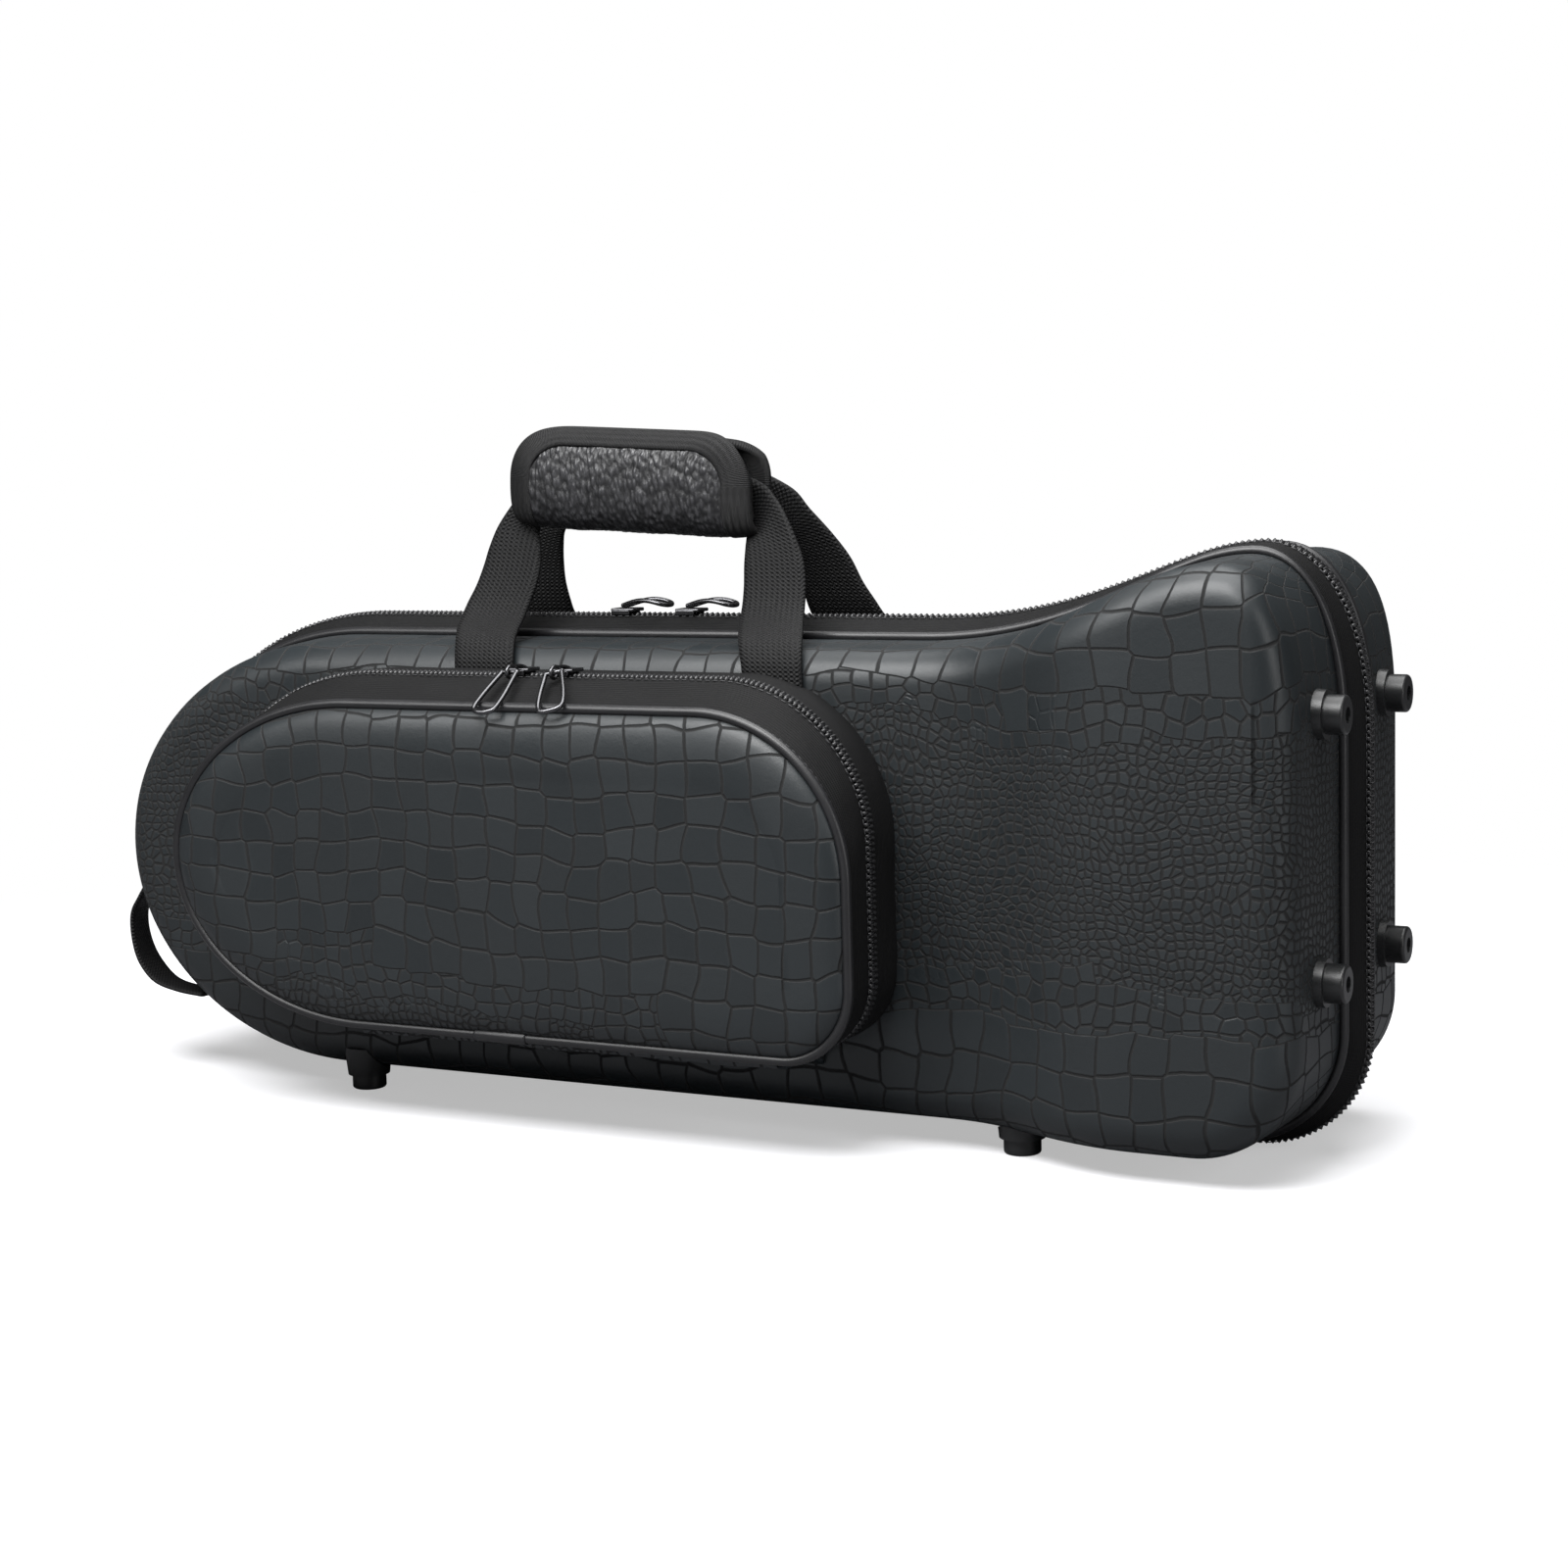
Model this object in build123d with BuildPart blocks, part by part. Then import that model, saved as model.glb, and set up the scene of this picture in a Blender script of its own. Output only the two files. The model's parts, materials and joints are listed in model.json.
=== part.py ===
from build123d import *
from functools import lru_cache
import math
import os

# A zipped, semi-hard trumpet case that stands on its long edge.
# X runs along the case with the bell end at +X, the pocket faces -Y, Z is up.
# The origin is on the floor, under the middle of the whole case.
# Outlines are drawn in case coordinates: x = 0 at the bell end wall, z = 0 at the
# floor, and depth measured from the parting plane between the two halves.

FRONT = -1
BACK = 1

# rim outline of the case, where shell and zipped band meet
nose_x = -432.0
nose_reach = 115.0
rim_top = 195.5
rim_bottom = 8.5
end_wall = 1.7
toe_radius = 43.0
shoulder_z = 163.0
shoulder_rise = 45.0
bell_x = -31.0
bell_run = 20.0
bell_top = 228.8
flare_x = -165.0
flare_pull = 70.0
bell_pull = 34.0

# zipped bands, which swell outwards from the rim to the parting plane
rim_depth = 17.8
band_wall = 2.0
swell_top = 7.5
swell_bell = 3.4
swell_end = 6.0
swell_bottom = 5.5

# moulded shells
shell_wall = 3.0
draft = 2.0
tail_depth = 52.0
bell_depth = 75.0
step_start = -150.0
step_end = -62.0
face_radius = 14.0
step_pull = 0.42
form_spare = 5.0
edge_slack = 1.0

# zip chain
chain_gap = 0.4
chain_width = 2.8
chain_rise = 1.4
chain_sink = 1.6
case_hinge_left = -395.0
case_hinge_right = -85.0

# piping cord, and the sewn flange that holds it
piping_radius = 2.0
piping_stand = 1.0

# fabric hinge along the bottom
leaf_wall = 1.2
leaf_edge = 13.0

# padding
fit_gap = 0.3
foam_rim = 7.0
foam_end = 19.0
tube_bay = (-478.0, -150.0, 70.0, 168.0)
tube_bay_depth = 25.0
valve_bay = (-345.0, -248.0, 30.0, 184.0)
valve_bay_depth = 34.0
bell_axis_z = 118.0
bell_sides = 8
bell_mouth = 64.0
bell_neck = 27.0
bell_waist = 42.0
bell_waist_back = 46.0
bell_rim_room = 16.0
well_left = -244.0
well_length = 90.0
well_low = 24.0
well_high = 62.0
well_depth = 40.0
tray_wall = 1.6
holder_left = -452.0
holder_depth = 44.0
mouthpiece_radius = 14.5
mouthpiece_pitch = 40.0
mouthpiece_hole = 36.0
nest_round = 5.0

# feet and end bumpers
stud_radius = 7.3
stud_collar = 9.0
collar_height = 2.2
collar_flare = 6.0
stud_root = 10.0
stud_round = 1.2
foot_left = -422.9
foot_right = -116.5
foot_depth = 42.4
bumper_high = 172.1
bumper_low = 74.2
bumper_depth = 41.4
bumper_reach = 11.4
screw_radius = 1.5
screw_head = 2.9
screw_sink = 2.4
screw_head_height = 1.6
screw_play = 0.1

# pocket on the front shell
pocket_nose_x = -386.5
pocket_reach = 90.0
pocket_right = -164.2
pocket_top = 172.4
pocket_bottom = 42.3
pocket_lift = 11.6
pocket_head_radius = 62.0
pocket_toe_radius = 28.0
pocket_zip_depth = 73.0
pocket_face_depth = 96.0
pocket_crown = 6.0
cover_wall = 2.4
crown_steps = ((0.0, 0.0), (-2.0, 0.45), (-8.0, 0.8), (-24.0, 1.0))
sleeve_wall = 0.7
pocket_hinge_left = -388.0
pocket_hinge_right = -196.0
hinge_strip_drop = 9.0
hinge_strip_wall = 1.4
sleeve_x = -318.0
sleeve_length = 24.0

# webbing handle
webbing = 29.5
webbing_wall = 2.0
strap_depth = 23.0
strap_pivot_z = 199.0
tab_end_z = 186.0
tab_depth = 56.0
left_leg_x = -367.0
right_leg_x = -229.0
back_right_leg_x = -219.0
grip_left = -336.0
grip_right = -252.0
leg_offset = 11.0
leg_top = 0.68
leg_steps = ((0.0, 0.0, 1.0), (0.25, 0.05, 1.0), (0.65, 0.5, 0.92), (1.0, 1.0, 0.72))
corner_offset = 9.3
corner_drop = 7.0
corner_width = 25.0
front_grip_y = -13.0
back_grip_y = 8.0

# padded wrap round the front strap
wrap_x = -294.0
wrap_z = 259.5
wrap_length = 112.0
wrap_tilt = 3.2
wrap_height = 38.0
wrap_width = 26.0
wrap_pad = 4.0
wrap_round = 9.0
wrap_mouth = 20.0
flap_wall = 2.2
flap_low = 5.5
flap_round = 13.0
flap_hook = 8.0
flap_spare = 1.0
binding_wide = 6.5
binding_wall = 0.9

# webbing loop at the tail
loop_x = -522.0
loop_z = 59.0
loop_reach = 32.0
loop_rise = 28.5
loop_depth = 36.0
loop_width = 20.0

# zip sliders and their pulls
slider_length = 11.0
slider_wall = 1.2
slider_side = 4.8
post_half = 0.25
bridge_wide = 3.0
bridge_wall = 1.2
pull_length = 22.0
pocket_pull_length = 26.0
pull_width = 11.0
pull_round = 2.75
pull_wire = 1.8
pull_play = 0.55
main_slider_left = -310.0
main_slider_right = -279.0
pocket_slider_left = -316.5
pocket_slider_right = -296.0
pocket_pull_slope = 33.0
pocket_pivot_out = 9.5
pocket_pivot_drop = 2.15

# sizes worked out from the ones above
gathered = wrap_height - 2 * wrap_pad - 2 * fit_gap
seam_depth = chain_gap + chain_width
band_edge = rim_depth - piping_radius
pocket_seam_in = pocket_zip_depth - seam_depth
pocket_seam_out = pocket_zip_depth + seam_depth

bell_wall_x = end_wall - shell_wall - foam_end
well = (well_left, well_left + well_length, well_low, well_high)
holder = (holder_left, holder_left + well_length, well_low, well_high)

# whole size, which places the origin: the pocket's pulls reach furthest to the front
tail_end = nose_x - nose_reach - swell_end - chain_rise
pull_lean = math.radians(pocket_pull_slope)
pull_reach = (pocket_pull_length - pull_wire / 2) * math.cos(pull_lean) + pull_wire / 2 * math.sin(pull_lean)
front_reach = pocket_zip_depth + pocket_pivot_out + pull_reach
middle_x = (tail_end + bumper_reach) / 2
middle_y = (bell_depth - front_reach) / 2


def upright(y):
    """Vertical plane at a distance y behind the parting plane, seen from the front."""
    return Plane(origin=(-middle_x, y - middle_y, 0), x_dir=(1, 0, 0), z_dir=(0, -1, 0))


def across(x):
    """Vertical plane across the case at x, with local x towards the back."""
    return Plane(origin=(x - middle_x, -middle_y, 0), x_dir=(0, 1, 0), z_dir=(1, 0, 0))


def level(z):
    """Level plane at height z, in case coordinates."""
    return Plane(origin=(-middle_x, -middle_y, z))


def case_line(grow, swell=0.0):
    """Line of the case's outline, grown outwards, and swollen as at the parting plane."""
    top = rim_top + grow + swell * swell_top
    bell = bell_top + grow + swell * swell_bell
    end = end_wall + grow + swell * swell_end
    bottom = rim_bottom - grow - swell * swell_bottom
    reach = nose_reach + grow + swell * swell_end
    toe = toe_radius + grow
    middle = (rim_top + rim_bottom) / 2
    with BuildLine() as line:
        EllipticalCenterArc((nose_x, middle), reach, top - middle, start_angle=90, arc_size=90)
        EllipticalCenterArc((nose_x, middle), reach, middle - bottom, start_angle=180, arc_size=90)
        Line((nose_x, bottom), (end - toe, bottom))
        CenterArc((end - toe, bottom + toe), toe, 270, 90)
        Line((end, bottom + toe), (end, shoulder_z))
        Bezier((end, shoulder_z), (end, shoulder_z + shoulder_rise),
               (bell_x + bell_run, bell), (bell_x, bell))
        Bezier((bell_x, bell), (bell_x - bell_pull, bell), (flare_x + flare_pull, top), (flare_x, top))
        Line((flare_x, top), (nose_x, top))
    return line.line


def pocket_line(grow, lift=0.0):
    """Line of the pocket's outline, with its top raised by lift times the full lift."""
    top = pocket_top + grow + lift * pocket_lift
    bottom = pocket_bottom - grow
    right = pocket_right + grow
    reach = pocket_reach + grow
    middle = (pocket_top + pocket_bottom) / 2
    head = pocket_head_radius + grow
    toe = pocket_toe_radius + grow
    with BuildLine() as line:
        EllipticalCenterArc((pocket_nose_x, middle), reach, top - middle, start_angle=90, arc_size=90)
        EllipticalCenterArc((pocket_nose_x, middle), reach, middle - bottom, start_angle=180, arc_size=90)
        Line((pocket_nose_x, bottom), (right - toe, bottom))
        CenterArc((right - toe, bottom + toe), toe, 270, 90)
        Line((right, bottom + toe), (right, top - head))
        CenterArc((right - head, top - head), head, 0, 90)
        Line((right - head, top), (pocket_nose_x, top))
    return line.line


def case_outline(grow, swell=0.0):
    """Face inside the case's outline."""
    make_face(case_line(grow, swell).edges())


def pocket_outline(grow, lift=0.0):
    """Face inside the pocket's outline."""
    make_face(pocket_line(grow, lift).edges())


def face_profile(side, inset):
    """Level profile of a half: how deep it is along its length."""
    tail_y = side * (side_tail_depth(side) - inset)
    bell_y = side * (bell_depth - inset)
    far_left = nose_x - 2 * nose_reach
    far_right = end_wall + nose_reach
    bend = (step_end - step_start) * step_pull
    with BuildLine() as line:
        Line((far_left, 0), (far_left, tail_y))
        Line((far_left, tail_y), (step_start, tail_y))
        if tail_y == bell_y:
            Line((step_start, tail_y), (step_end, bell_y))
        else:
            Bezier((step_start, tail_y), (step_start + bend, tail_y),
                   (step_end - bend, bell_y), (step_end, bell_y))
        Line((step_end, bell_y), (far_right, bell_y))
        Line((far_right, bell_y), (far_right, 0))
        Line((far_right, 0), (far_left, 0))
    make_face(line.edges())


def side_tail_depth(side):
    """Depth of a half at the tail: the back is flat, and the front is stepped."""
    return tail_depth if side == FRONT else bell_depth


def side_name(side):
    return "front" if side == FRONT else "back"


@lru_cache(maxsize=None)
def moulded_half(side, inset, start=rim_depth):
    """The solid form of one half, drawn in by inset, from the depth start outwards."""
    deep = bell_depth - min(inset, 0) + form_spare
    lean = draft * (deep - rim_depth) / (bell_depth - rim_depth)
    with BuildPart() as form:
        with BuildSketch(upright(side * rim_depth)):
            case_outline(-inset)
        with BuildSketch(upright(side * deep)):
            case_outline(-inset - lean)
        loft(ruled=True)
        with BuildSketch(level(0)):
            face_profile(side, inset)
        extrude(amount=bell_top * 2, mode=Mode.INTERSECT)
        outer = form.edges().filter_by(lambda e: is_face_edge(e, side, inset))
        fillet(outer, radius=face_radius - inset)
        if start < rim_depth:
            with BuildSketch(upright(side * start)):
                case_outline(-inset)
            extrude(amount=-side * (rim_depth - start))
    return form.part


def is_face_edge(edge, side, inset):
    """True for the edges round the outer face of a half, not those across it."""
    middle = edge @ 0.5
    depth = side * (middle.Y + middle_y)
    start = edge @ 0
    end = edge @ 1
    on_end_wall = start.X + middle_x > step_end + form_spare
    across_face = abs(start.X - end.X) < fit_gap and not on_end_wall
    return depth > tail_depth - inset - edge_slack and not across_face


def case_ring(side, near, far, swell_near, swell_far, grow, wall):
    """Closed ring that follows the case's outline between two depths."""
    with BuildPart() as ring:
        with BuildSketch(upright(side * near)):
            case_outline(grow, swell_near)
        with BuildSketch(upright(side * far)):
            case_outline(grow, swell_far)
        loft(ruled=True)
        with BuildSketch(upright(side * near)):
            case_outline(grow - wall, swell_near)
        with BuildSketch(upright(side * far)):
            case_outline(grow - wall, swell_far)
        loft(ruled=True, mode=Mode.SUBTRACT)
    return ring.part


def pocket_ring(near, far, lift_near, lift_far, grow, wall):
    """Closed ring that follows the pocket's outline between two depths."""
    with BuildPart() as ring:
        with BuildSketch(upright(-near)):
            pocket_outline(grow, lift_near)
        with BuildSketch(upright(-far)):
            pocket_outline(grow, lift_far)
        loft(ruled=True)
        with BuildSketch(upright(-near)):
            pocket_outline(grow - wall, lift_near)
        with BuildSketch(upright(-far)):
            pocket_outline(grow - wall, lift_far)
        loft(ruled=True, mode=Mode.SUBTRACT)
    return ring.part


def block(low, high):
    """Box between two corners in case coordinates."""
    with BuildPart() as box:
        with BuildSketch(level(low[2])):
            with Locations(((low[0] + high[0]) / 2, (low[1] + high[1]) / 2)):
                Rectangle(high[0] - low[0], high[1] - low[1])
        extrude(amount=high[2] - low[2])
    return box.part


def keep(piece, name):
    """Labels a finished piece and writes it."""
    piece.label = name
    export_step(piece, "parts/" + name + ".step")


# ---- the two halves of the case ----


def stud_planes(side):
    """Where the feet and end bumpers of a half stand: outer face, and reach to the rim."""
    feet = []
    for x in (foot_left, foot_right):
        feet.append(Plane(origin=(x - middle_x, side * foot_depth - middle_y, 0)))
    bumpers = []
    for z in (bumper_high, bumper_low):
        place = (bumper_reach - middle_x, side * bumper_depth - middle_y, z)
        bumpers.append(Plane(origin=place, x_dir=(0, 1, 0), z_dir=(-1, 0, 0)))
    return feet, bumpers


def make_shell(side):
    """Thin moulded shell with blind holes for the screws of its feet and bumpers."""
    with BuildPart() as shell:
        add(moulded_half(side, 0.0))
        add(moulded_half(side, shell_wall), mode=Mode.SUBTRACT)
        add(screw_group(side, screw_radius + screw_play), mode=Mode.SUBTRACT)
    keep(shell.part, side_name(side) + "_shell")


def screw_group(side, shank_radius):
    """Screws that hold the feet and the bumpers of one half."""
    feet, bumpers = stud_planes(side)
    places = [(plane, rim_bottom) for plane in feet]
    places += [(plane, bumper_reach - end_wall) for plane in bumpers]
    seat = screw_sink + screw_head_height
    with BuildPart() as screws:
        for plane, reach in places:
            with BuildSketch(plane.offset(screw_sink)):
                Circle(screw_head)
            extrude(amount=screw_head_height)
            with BuildSketch(plane.offset(seat)):
                Circle(shank_radius)
            extrude(amount=reach + shell_wall - seat)
    return screws.part


def stud_group(side, planes, reach):
    """Rubber studs with a collar, seated on the shell, each with a sunk screw hole."""
    seat = screw_sink + screw_head_height
    with BuildPart() as studs:
        for plane in planes:
            with BuildSketch(plane):
                Circle(stud_radius)
            extrude(amount=reach + stud_root)
            with BuildSketch(plane.offset(reach - collar_height)):
                Circle(stud_collar)
            extrude(amount=collar_height + stud_root, taper=-collar_flare)
        rims = studs.edges().filter_by(lambda e: any(on_rim(e, plane) for plane in planes))
        fillet(rims, radius=stud_round)
        for plane in planes:
            with BuildSketch(plane):
                Circle(screw_head + screw_play)
            extrude(amount=seat, mode=Mode.SUBTRACT)
            with BuildSketch(plane):
                Circle(screw_radius + screw_play)
            extrude(amount=reach + stud_root, mode=Mode.SUBTRACT)
        add(moulded_half(side, 0.0), mode=Mode.SUBTRACT)
    return studs.part


def on_rim(edge, plane):
    """True for the edge round the outer face of a stud."""
    reach = edge @ 0 - plane.origin
    return abs(reach.dot(plane.z_dir)) < fit_gap and reach.length < stud_collar


def make_studs(side):
    """Feet, bumpers and their screws on one half."""
    feet, bumpers = stud_planes(side)
    keep(stud_group(side, feet, rim_bottom), side_name(side) + "_feet")
    keep(stud_group(side, bumpers, bumper_reach - end_wall), side_name(side) + "_bumpers")
    keep(screw_group(side, screw_radius), side_name(side) + "_screws")


def make_band(side):
    """Zipped nylon band between the rim and the zip."""
    band = case_ring(side, seam_depth, band_edge, 1.0, 0.0, 0.0, band_wall)
    keep(band, side_name(side) + "_band")


def swell_at(depth):
    """How far the band has swollen at a depth: 0 at its rim edge and 1 at the zip."""
    return (band_edge - depth) / (band_edge - seam_depth)


def make_chain(side):
    """Half of the case's zip chain, which stops at both ends of the hinge."""
    bottom = rim_bottom - swell_bottom
    far = seam_depth * side
    with BuildPart() as chain:
        wall = chain_rise + chain_sink
        add(case_ring(side, chain_gap, seam_depth, 1.0, 1.0, chain_rise, wall))
        low = (case_hinge_left, min(0.0, far), bottom - 2 * wall)
        high = (case_hinge_right, max(0.0, far), bottom + 2 * wall)
        add(block(low, high), mode=Mode.SUBTRACT)
    keep(chain.part, side_name(side) + "_zip")


def make_hinge_leaf(side):
    """One leaf of the fabric hinge that is sewn inside the bottom of the bands."""
    near = chain_gap
    leaf_grow = -band_wall
    with BuildPart() as leaf:
        add(case_ring(side, near, leaf_edge, swell_at(near), swell_at(leaf_edge), leaf_grow, leaf_wall))
        low = (case_hinge_left, min(0, side * band_edge), 0.0)
        high = (case_hinge_right, max(0, side * band_edge), rim_bottom + 2 * shell_wall)
        add(block(low, high), mode=Mode.INTERSECT)
    keep(leaf.part, side_name(side) + "_hinge_leaf")


def make_piping(side):
    """Piping cord round the rim, fused with the flange that is sewn into the seam."""
    path = upright(side * rim_depth) * Wire(case_line(piping_stand).edges())
    with BuildPart() as piping:
        with BuildSketch(Plane(origin=path @ 0, z_dir=path % 0)):
            Circle(piping_radius)
        sweep(path=path)
        with BuildSketch(upright(side * rim_depth)):
            case_outline(0.0)
        extrude(amount=-side * piping_radius * 2, mode=Mode.SUBTRACT)
        with BuildSketch(upright(side * rim_depth)):
            case_outline(0.0)
        extrude(amount=side * piping_radius)
        with BuildSketch(upright(side * rim_depth)):
            case_outline(-band_wall)
        extrude(amount=side * piping_radius, mode=Mode.SUBTRACT)
    keep(piping.part, side_name(side) + "_piping")


@lru_cache(maxsize=None)
def trumpet_room():
    """The room for the instrument: its tubes, its valves and its flared bell."""
    waist_x = bell_wall_x - bell_waist_back
    rim_x = bell_wall_x - bell_rim_room
    stations = ((tube_bay[1], bell_neck), (waist_x, bell_waist),
                (rim_x, bell_mouth), (bell_wall_x, bell_mouth))
    with BuildPart() as room:
        for bay, depth in ((tube_bay, tube_bay_depth), (valve_bay, valve_bay_depth)):
            with BuildSketch(upright(0)):
                with Locations(((bay[0] + bay[1]) / 2, (bay[2] + bay[3]) / 2)):
                    Rectangle(bay[1] - bay[0], bay[3] - bay[2])
            extrude(amount=depth, both=True)
        for near, far in zip(stations, stations[1:]):
            for x, radius in (near, far):
                with BuildSketch(across(x)):
                    with Locations((0, bell_axis_z)):
                        RegularPolygon(radius, bell_sides, major_radius=False, rotation=180 / bell_sides)
            loft(ruled=True)
    return room.part


def nest(bay, clearance, depth):
    """Rounded block that stands in a well of the back padding, shrunk by clearance."""
    with BuildPart() as form:
        with BuildSketch(upright(foam_rim)):
            with Locations(((bay[0] + bay[1]) / 2, (bay[2] + bay[3]) / 2)):
                width = bay[1] - bay[0] - 2 * clearance
                height = bay[3] - bay[2] - 2 * clearance
                RectangleRounded(width, height, nest_round - clearance)
        extrude(amount=-depth)
    return form.part


def make_padding(side):
    """Foam blocks side by side along a half, cut out for the trumpet and for the two wells."""
    far_left = nose_x - nose_reach
    cuts = (("tail", far_left, tube_bay[0]), ("tube", tube_bay[0], valve_bay[0]),
            ("valve", valve_bay[0], valve_bay[1]), ("throat", valve_bay[1], tube_bay[1]),
            ("bell", tube_bay[1], bell_wall_x), ("end", bell_wall_x, end_wall))
    for name, left, right in cuts:
        with BuildPart() as foam:
            add(moulded_half(side, shell_wall + fit_gap, foam_rim))
            low = (left, -bell_depth, 0.0)
            high = (right, bell_depth, bell_top)
            add(block(low, high), mode=Mode.INTERSECT)
            add(trumpet_room(), mode=Mode.SUBTRACT)
            if side == BACK:
                add(nest(well, 0.0, well_depth), mode=Mode.SUBTRACT)
                add(nest(holder, 0.0, holder_depth), mode=Mode.SUBTRACT)
        keep(foam.part, side_name(side) + "_" + name + "_foam")


def make_accessory_tray():
    """Open tray for valve oil and a cloth, in its well below the bell's throat."""
    with BuildPart() as accessory_tray:
        add(nest(well, fit_gap, well_depth))
        add(nest(well, fit_gap + tray_wall, well_depth - tray_wall), mode=Mode.SUBTRACT)
    keep(accessory_tray.part, "accessory_tray")


def make_mouthpiece_holder():
    """Block with two blind holes for mouthpieces."""
    middle = ((holder[0] + holder[1]) / 2, (holder[2] + holder[3]) / 2)
    with BuildPart() as mouthpiece_holder:
        add(nest(holder, fit_gap, holder_depth))
        with BuildSketch(upright(foam_rim)):
            with Locations(middle):
                with GridLocations(mouthpiece_pitch, 1, 2, 1):
                    Circle(mouthpiece_radius)
        extrude(amount=-mouthpiece_hole, mode=Mode.SUBTRACT)
    keep(mouthpiece_holder.part, "mouthpiece_holder")


# ---- the pocket ----


def make_pocket_base():
    """Fixed band of the pocket, seated on the front shell, and its half of the zip."""
    with BuildPart() as pocket_base_band:
        add(pocket_ring(tail_depth - face_radius, pocket_seam_in, 1.0, 1.0, 0.0, band_wall))
        add(moulded_half(FRONT, 0.0), mode=Mode.SUBTRACT)
    keep(pocket_base_band.part, "pocket_base_band")
    keep(pocket_chain(pocket_seam_in, pocket_zip_depth - chain_gap), "pocket_base_zip")


def pocket_chain(near, far):
    """Half of the pocket's zip chain, open along the pocket's hinge."""
    wall = chain_rise + chain_sink
    with BuildPart() as chain:
        add(pocket_ring(near, far, 1.0, 1.0, chain_rise, wall))
        low = (pocket_hinge_left, -far, pocket_bottom - 2 * wall)
        high = (pocket_hinge_right, -near, pocket_bottom + 2 * wall)
        add(block(low, high), mode=Mode.SUBTRACT)
    return chain.part


def make_pocket_hinge_strip():
    """Leatherette strip that hinges the pocket's cover along its bottom."""
    low_z = pocket_bottom - hinge_strip_drop
    with BuildPart() as pocket_hinge_strip:
        add(block((pocket_hinge_left, -pocket_seam_in, pocket_bottom - hinge_strip_wall),
                  (pocket_hinge_right, -tail_depth, pocket_bottom)))
        add(block((pocket_hinge_left, -tail_depth - hinge_strip_wall, low_z),
                  (pocket_hinge_right, -tail_depth, pocket_bottom)))
    keep(pocket_hinge_strip.part, "pocket_hinge_strip")


def make_pocket_cover():
    """Crowned leatherette panel, a shallow dish behind, with its band and zip."""
    with BuildPart() as pocket_cover:
        for grow, rise in crown_steps:
            with BuildSketch(upright(-pocket_face_depth - rise * pocket_crown)):
                pocket_outline(grow)
        loft(ruled=True)
        for grow, rise in crown_steps:
            hollow = rise * (pocket_crown - cover_wall)
            with BuildSketch(upright(-pocket_face_depth - hollow)):
                pocket_outline(grow - cover_wall)
        loft(ruled=True, mode=Mode.SUBTRACT)
    keep(pocket_cover.part, "pocket_cover")
    edge = pocket_face_depth - piping_radius
    keep(pocket_ring(pocket_seam_out, edge, 1.0, 0.0, 0.0, band_wall), "pocket_cover_band")
    keep(pocket_chain(pocket_zip_depth + chain_gap, pocket_seam_out), "pocket_cover_zip")


def make_pocket_piping():
    """Piping cord round the pocket's panel with its flange, and the joining sleeve."""
    path = upright(-pocket_face_depth) * Wire(pocket_line(piping_stand).edges())
    with BuildPart() as pocket_piping:
        with BuildSketch(Plane(origin=path @ 0, z_dir=path % 0)):
            Circle(piping_radius)
        sweep(path=path)
        with BuildSketch(upright(-pocket_face_depth)):
            pocket_outline(0.0)
        extrude(amount=piping_radius * 2, mode=Mode.SUBTRACT)
        with BuildSketch(upright(-pocket_face_depth)):
            pocket_outline(0.0)
        extrude(amount=-piping_radius)
        with BuildSketch(upright(-pocket_face_depth)):
            pocket_outline(-band_wall)
        extrude(amount=-piping_radius, mode=Mode.SUBTRACT)
    keep(pocket_piping.part, "pocket_piping")
    cord_z = pocket_bottom - piping_stand
    with BuildPart() as piping_sleeve:
        with BuildSketch(across(sleeve_x - sleeve_length / 2)):
            with Locations((-pocket_face_depth, cord_z)):
                Circle(piping_radius + sleeve_wall)
                Circle(piping_radius, mode=Mode.SUBTRACT)
        extrude(amount=sleeve_length)
        with BuildSketch(upright(-pocket_face_depth + 2 * piping_radius)):
            pocket_outline(0.0)
        extrude(amount=4 * piping_radius, mode=Mode.SUBTRACT)
    keep(piping_sleeve.part, "piping_sleeve")


# ---- the webbing handle ----


def case_point(x, y, z):
    return (x - middle_x, y - middle_y, z)


def strap_sections(left_x, right_x, depth, grip_y):
    """Sections of a strap as (point, way along, way across, width), leg to leg."""
    tall = wrap_z - strap_pivot_z
    fall = math.tan(math.radians(wrap_tilt))
    left_leg = []
    right_leg = []
    for share, lean, width in leg_steps:
        y = depth + (grip_y - depth) * share
        z = strap_pivot_z + tall * leg_top * share
        x = left_x + (grip_left - leg_offset - left_x) * lean
        left_leg.append((case_point(x, y, z), (0, 0, 1), (-1, 0, 0), webbing * width))
        x = right_x + (grip_right + leg_offset - right_x) * lean
        right_leg.append((case_point(x, y, z), (0, 0, -1), (1, 0, 0), webbing * width))
    left_z = wrap_z - (grip_left - wrap_x) * fall
    right_z = wrap_z - (grip_right - wrap_x) * fall
    grip = [(case_point(grip_left, grip_y, left_z), (1, 0, 0), (0, 0, 1), gathered),
            (case_point(grip_right, grip_y, right_z), (1, 0, 0), (0, 0, 1), gathered)]
    left_corner = case_point(grip_left - corner_offset, grip_y, left_z - corner_drop)
    right_corner = case_point(grip_right + corner_offset, grip_y, right_z - corner_drop)
    left_turn = (left_corner, (1, 0, 1), (-1, 0, 1), corner_width)
    right_turn = (right_corner, (1, 0, -1), (1, 0, 1), corner_width)
    return left_leg + [left_turn] + grip + [right_turn] + right_leg[::-1]


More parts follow.
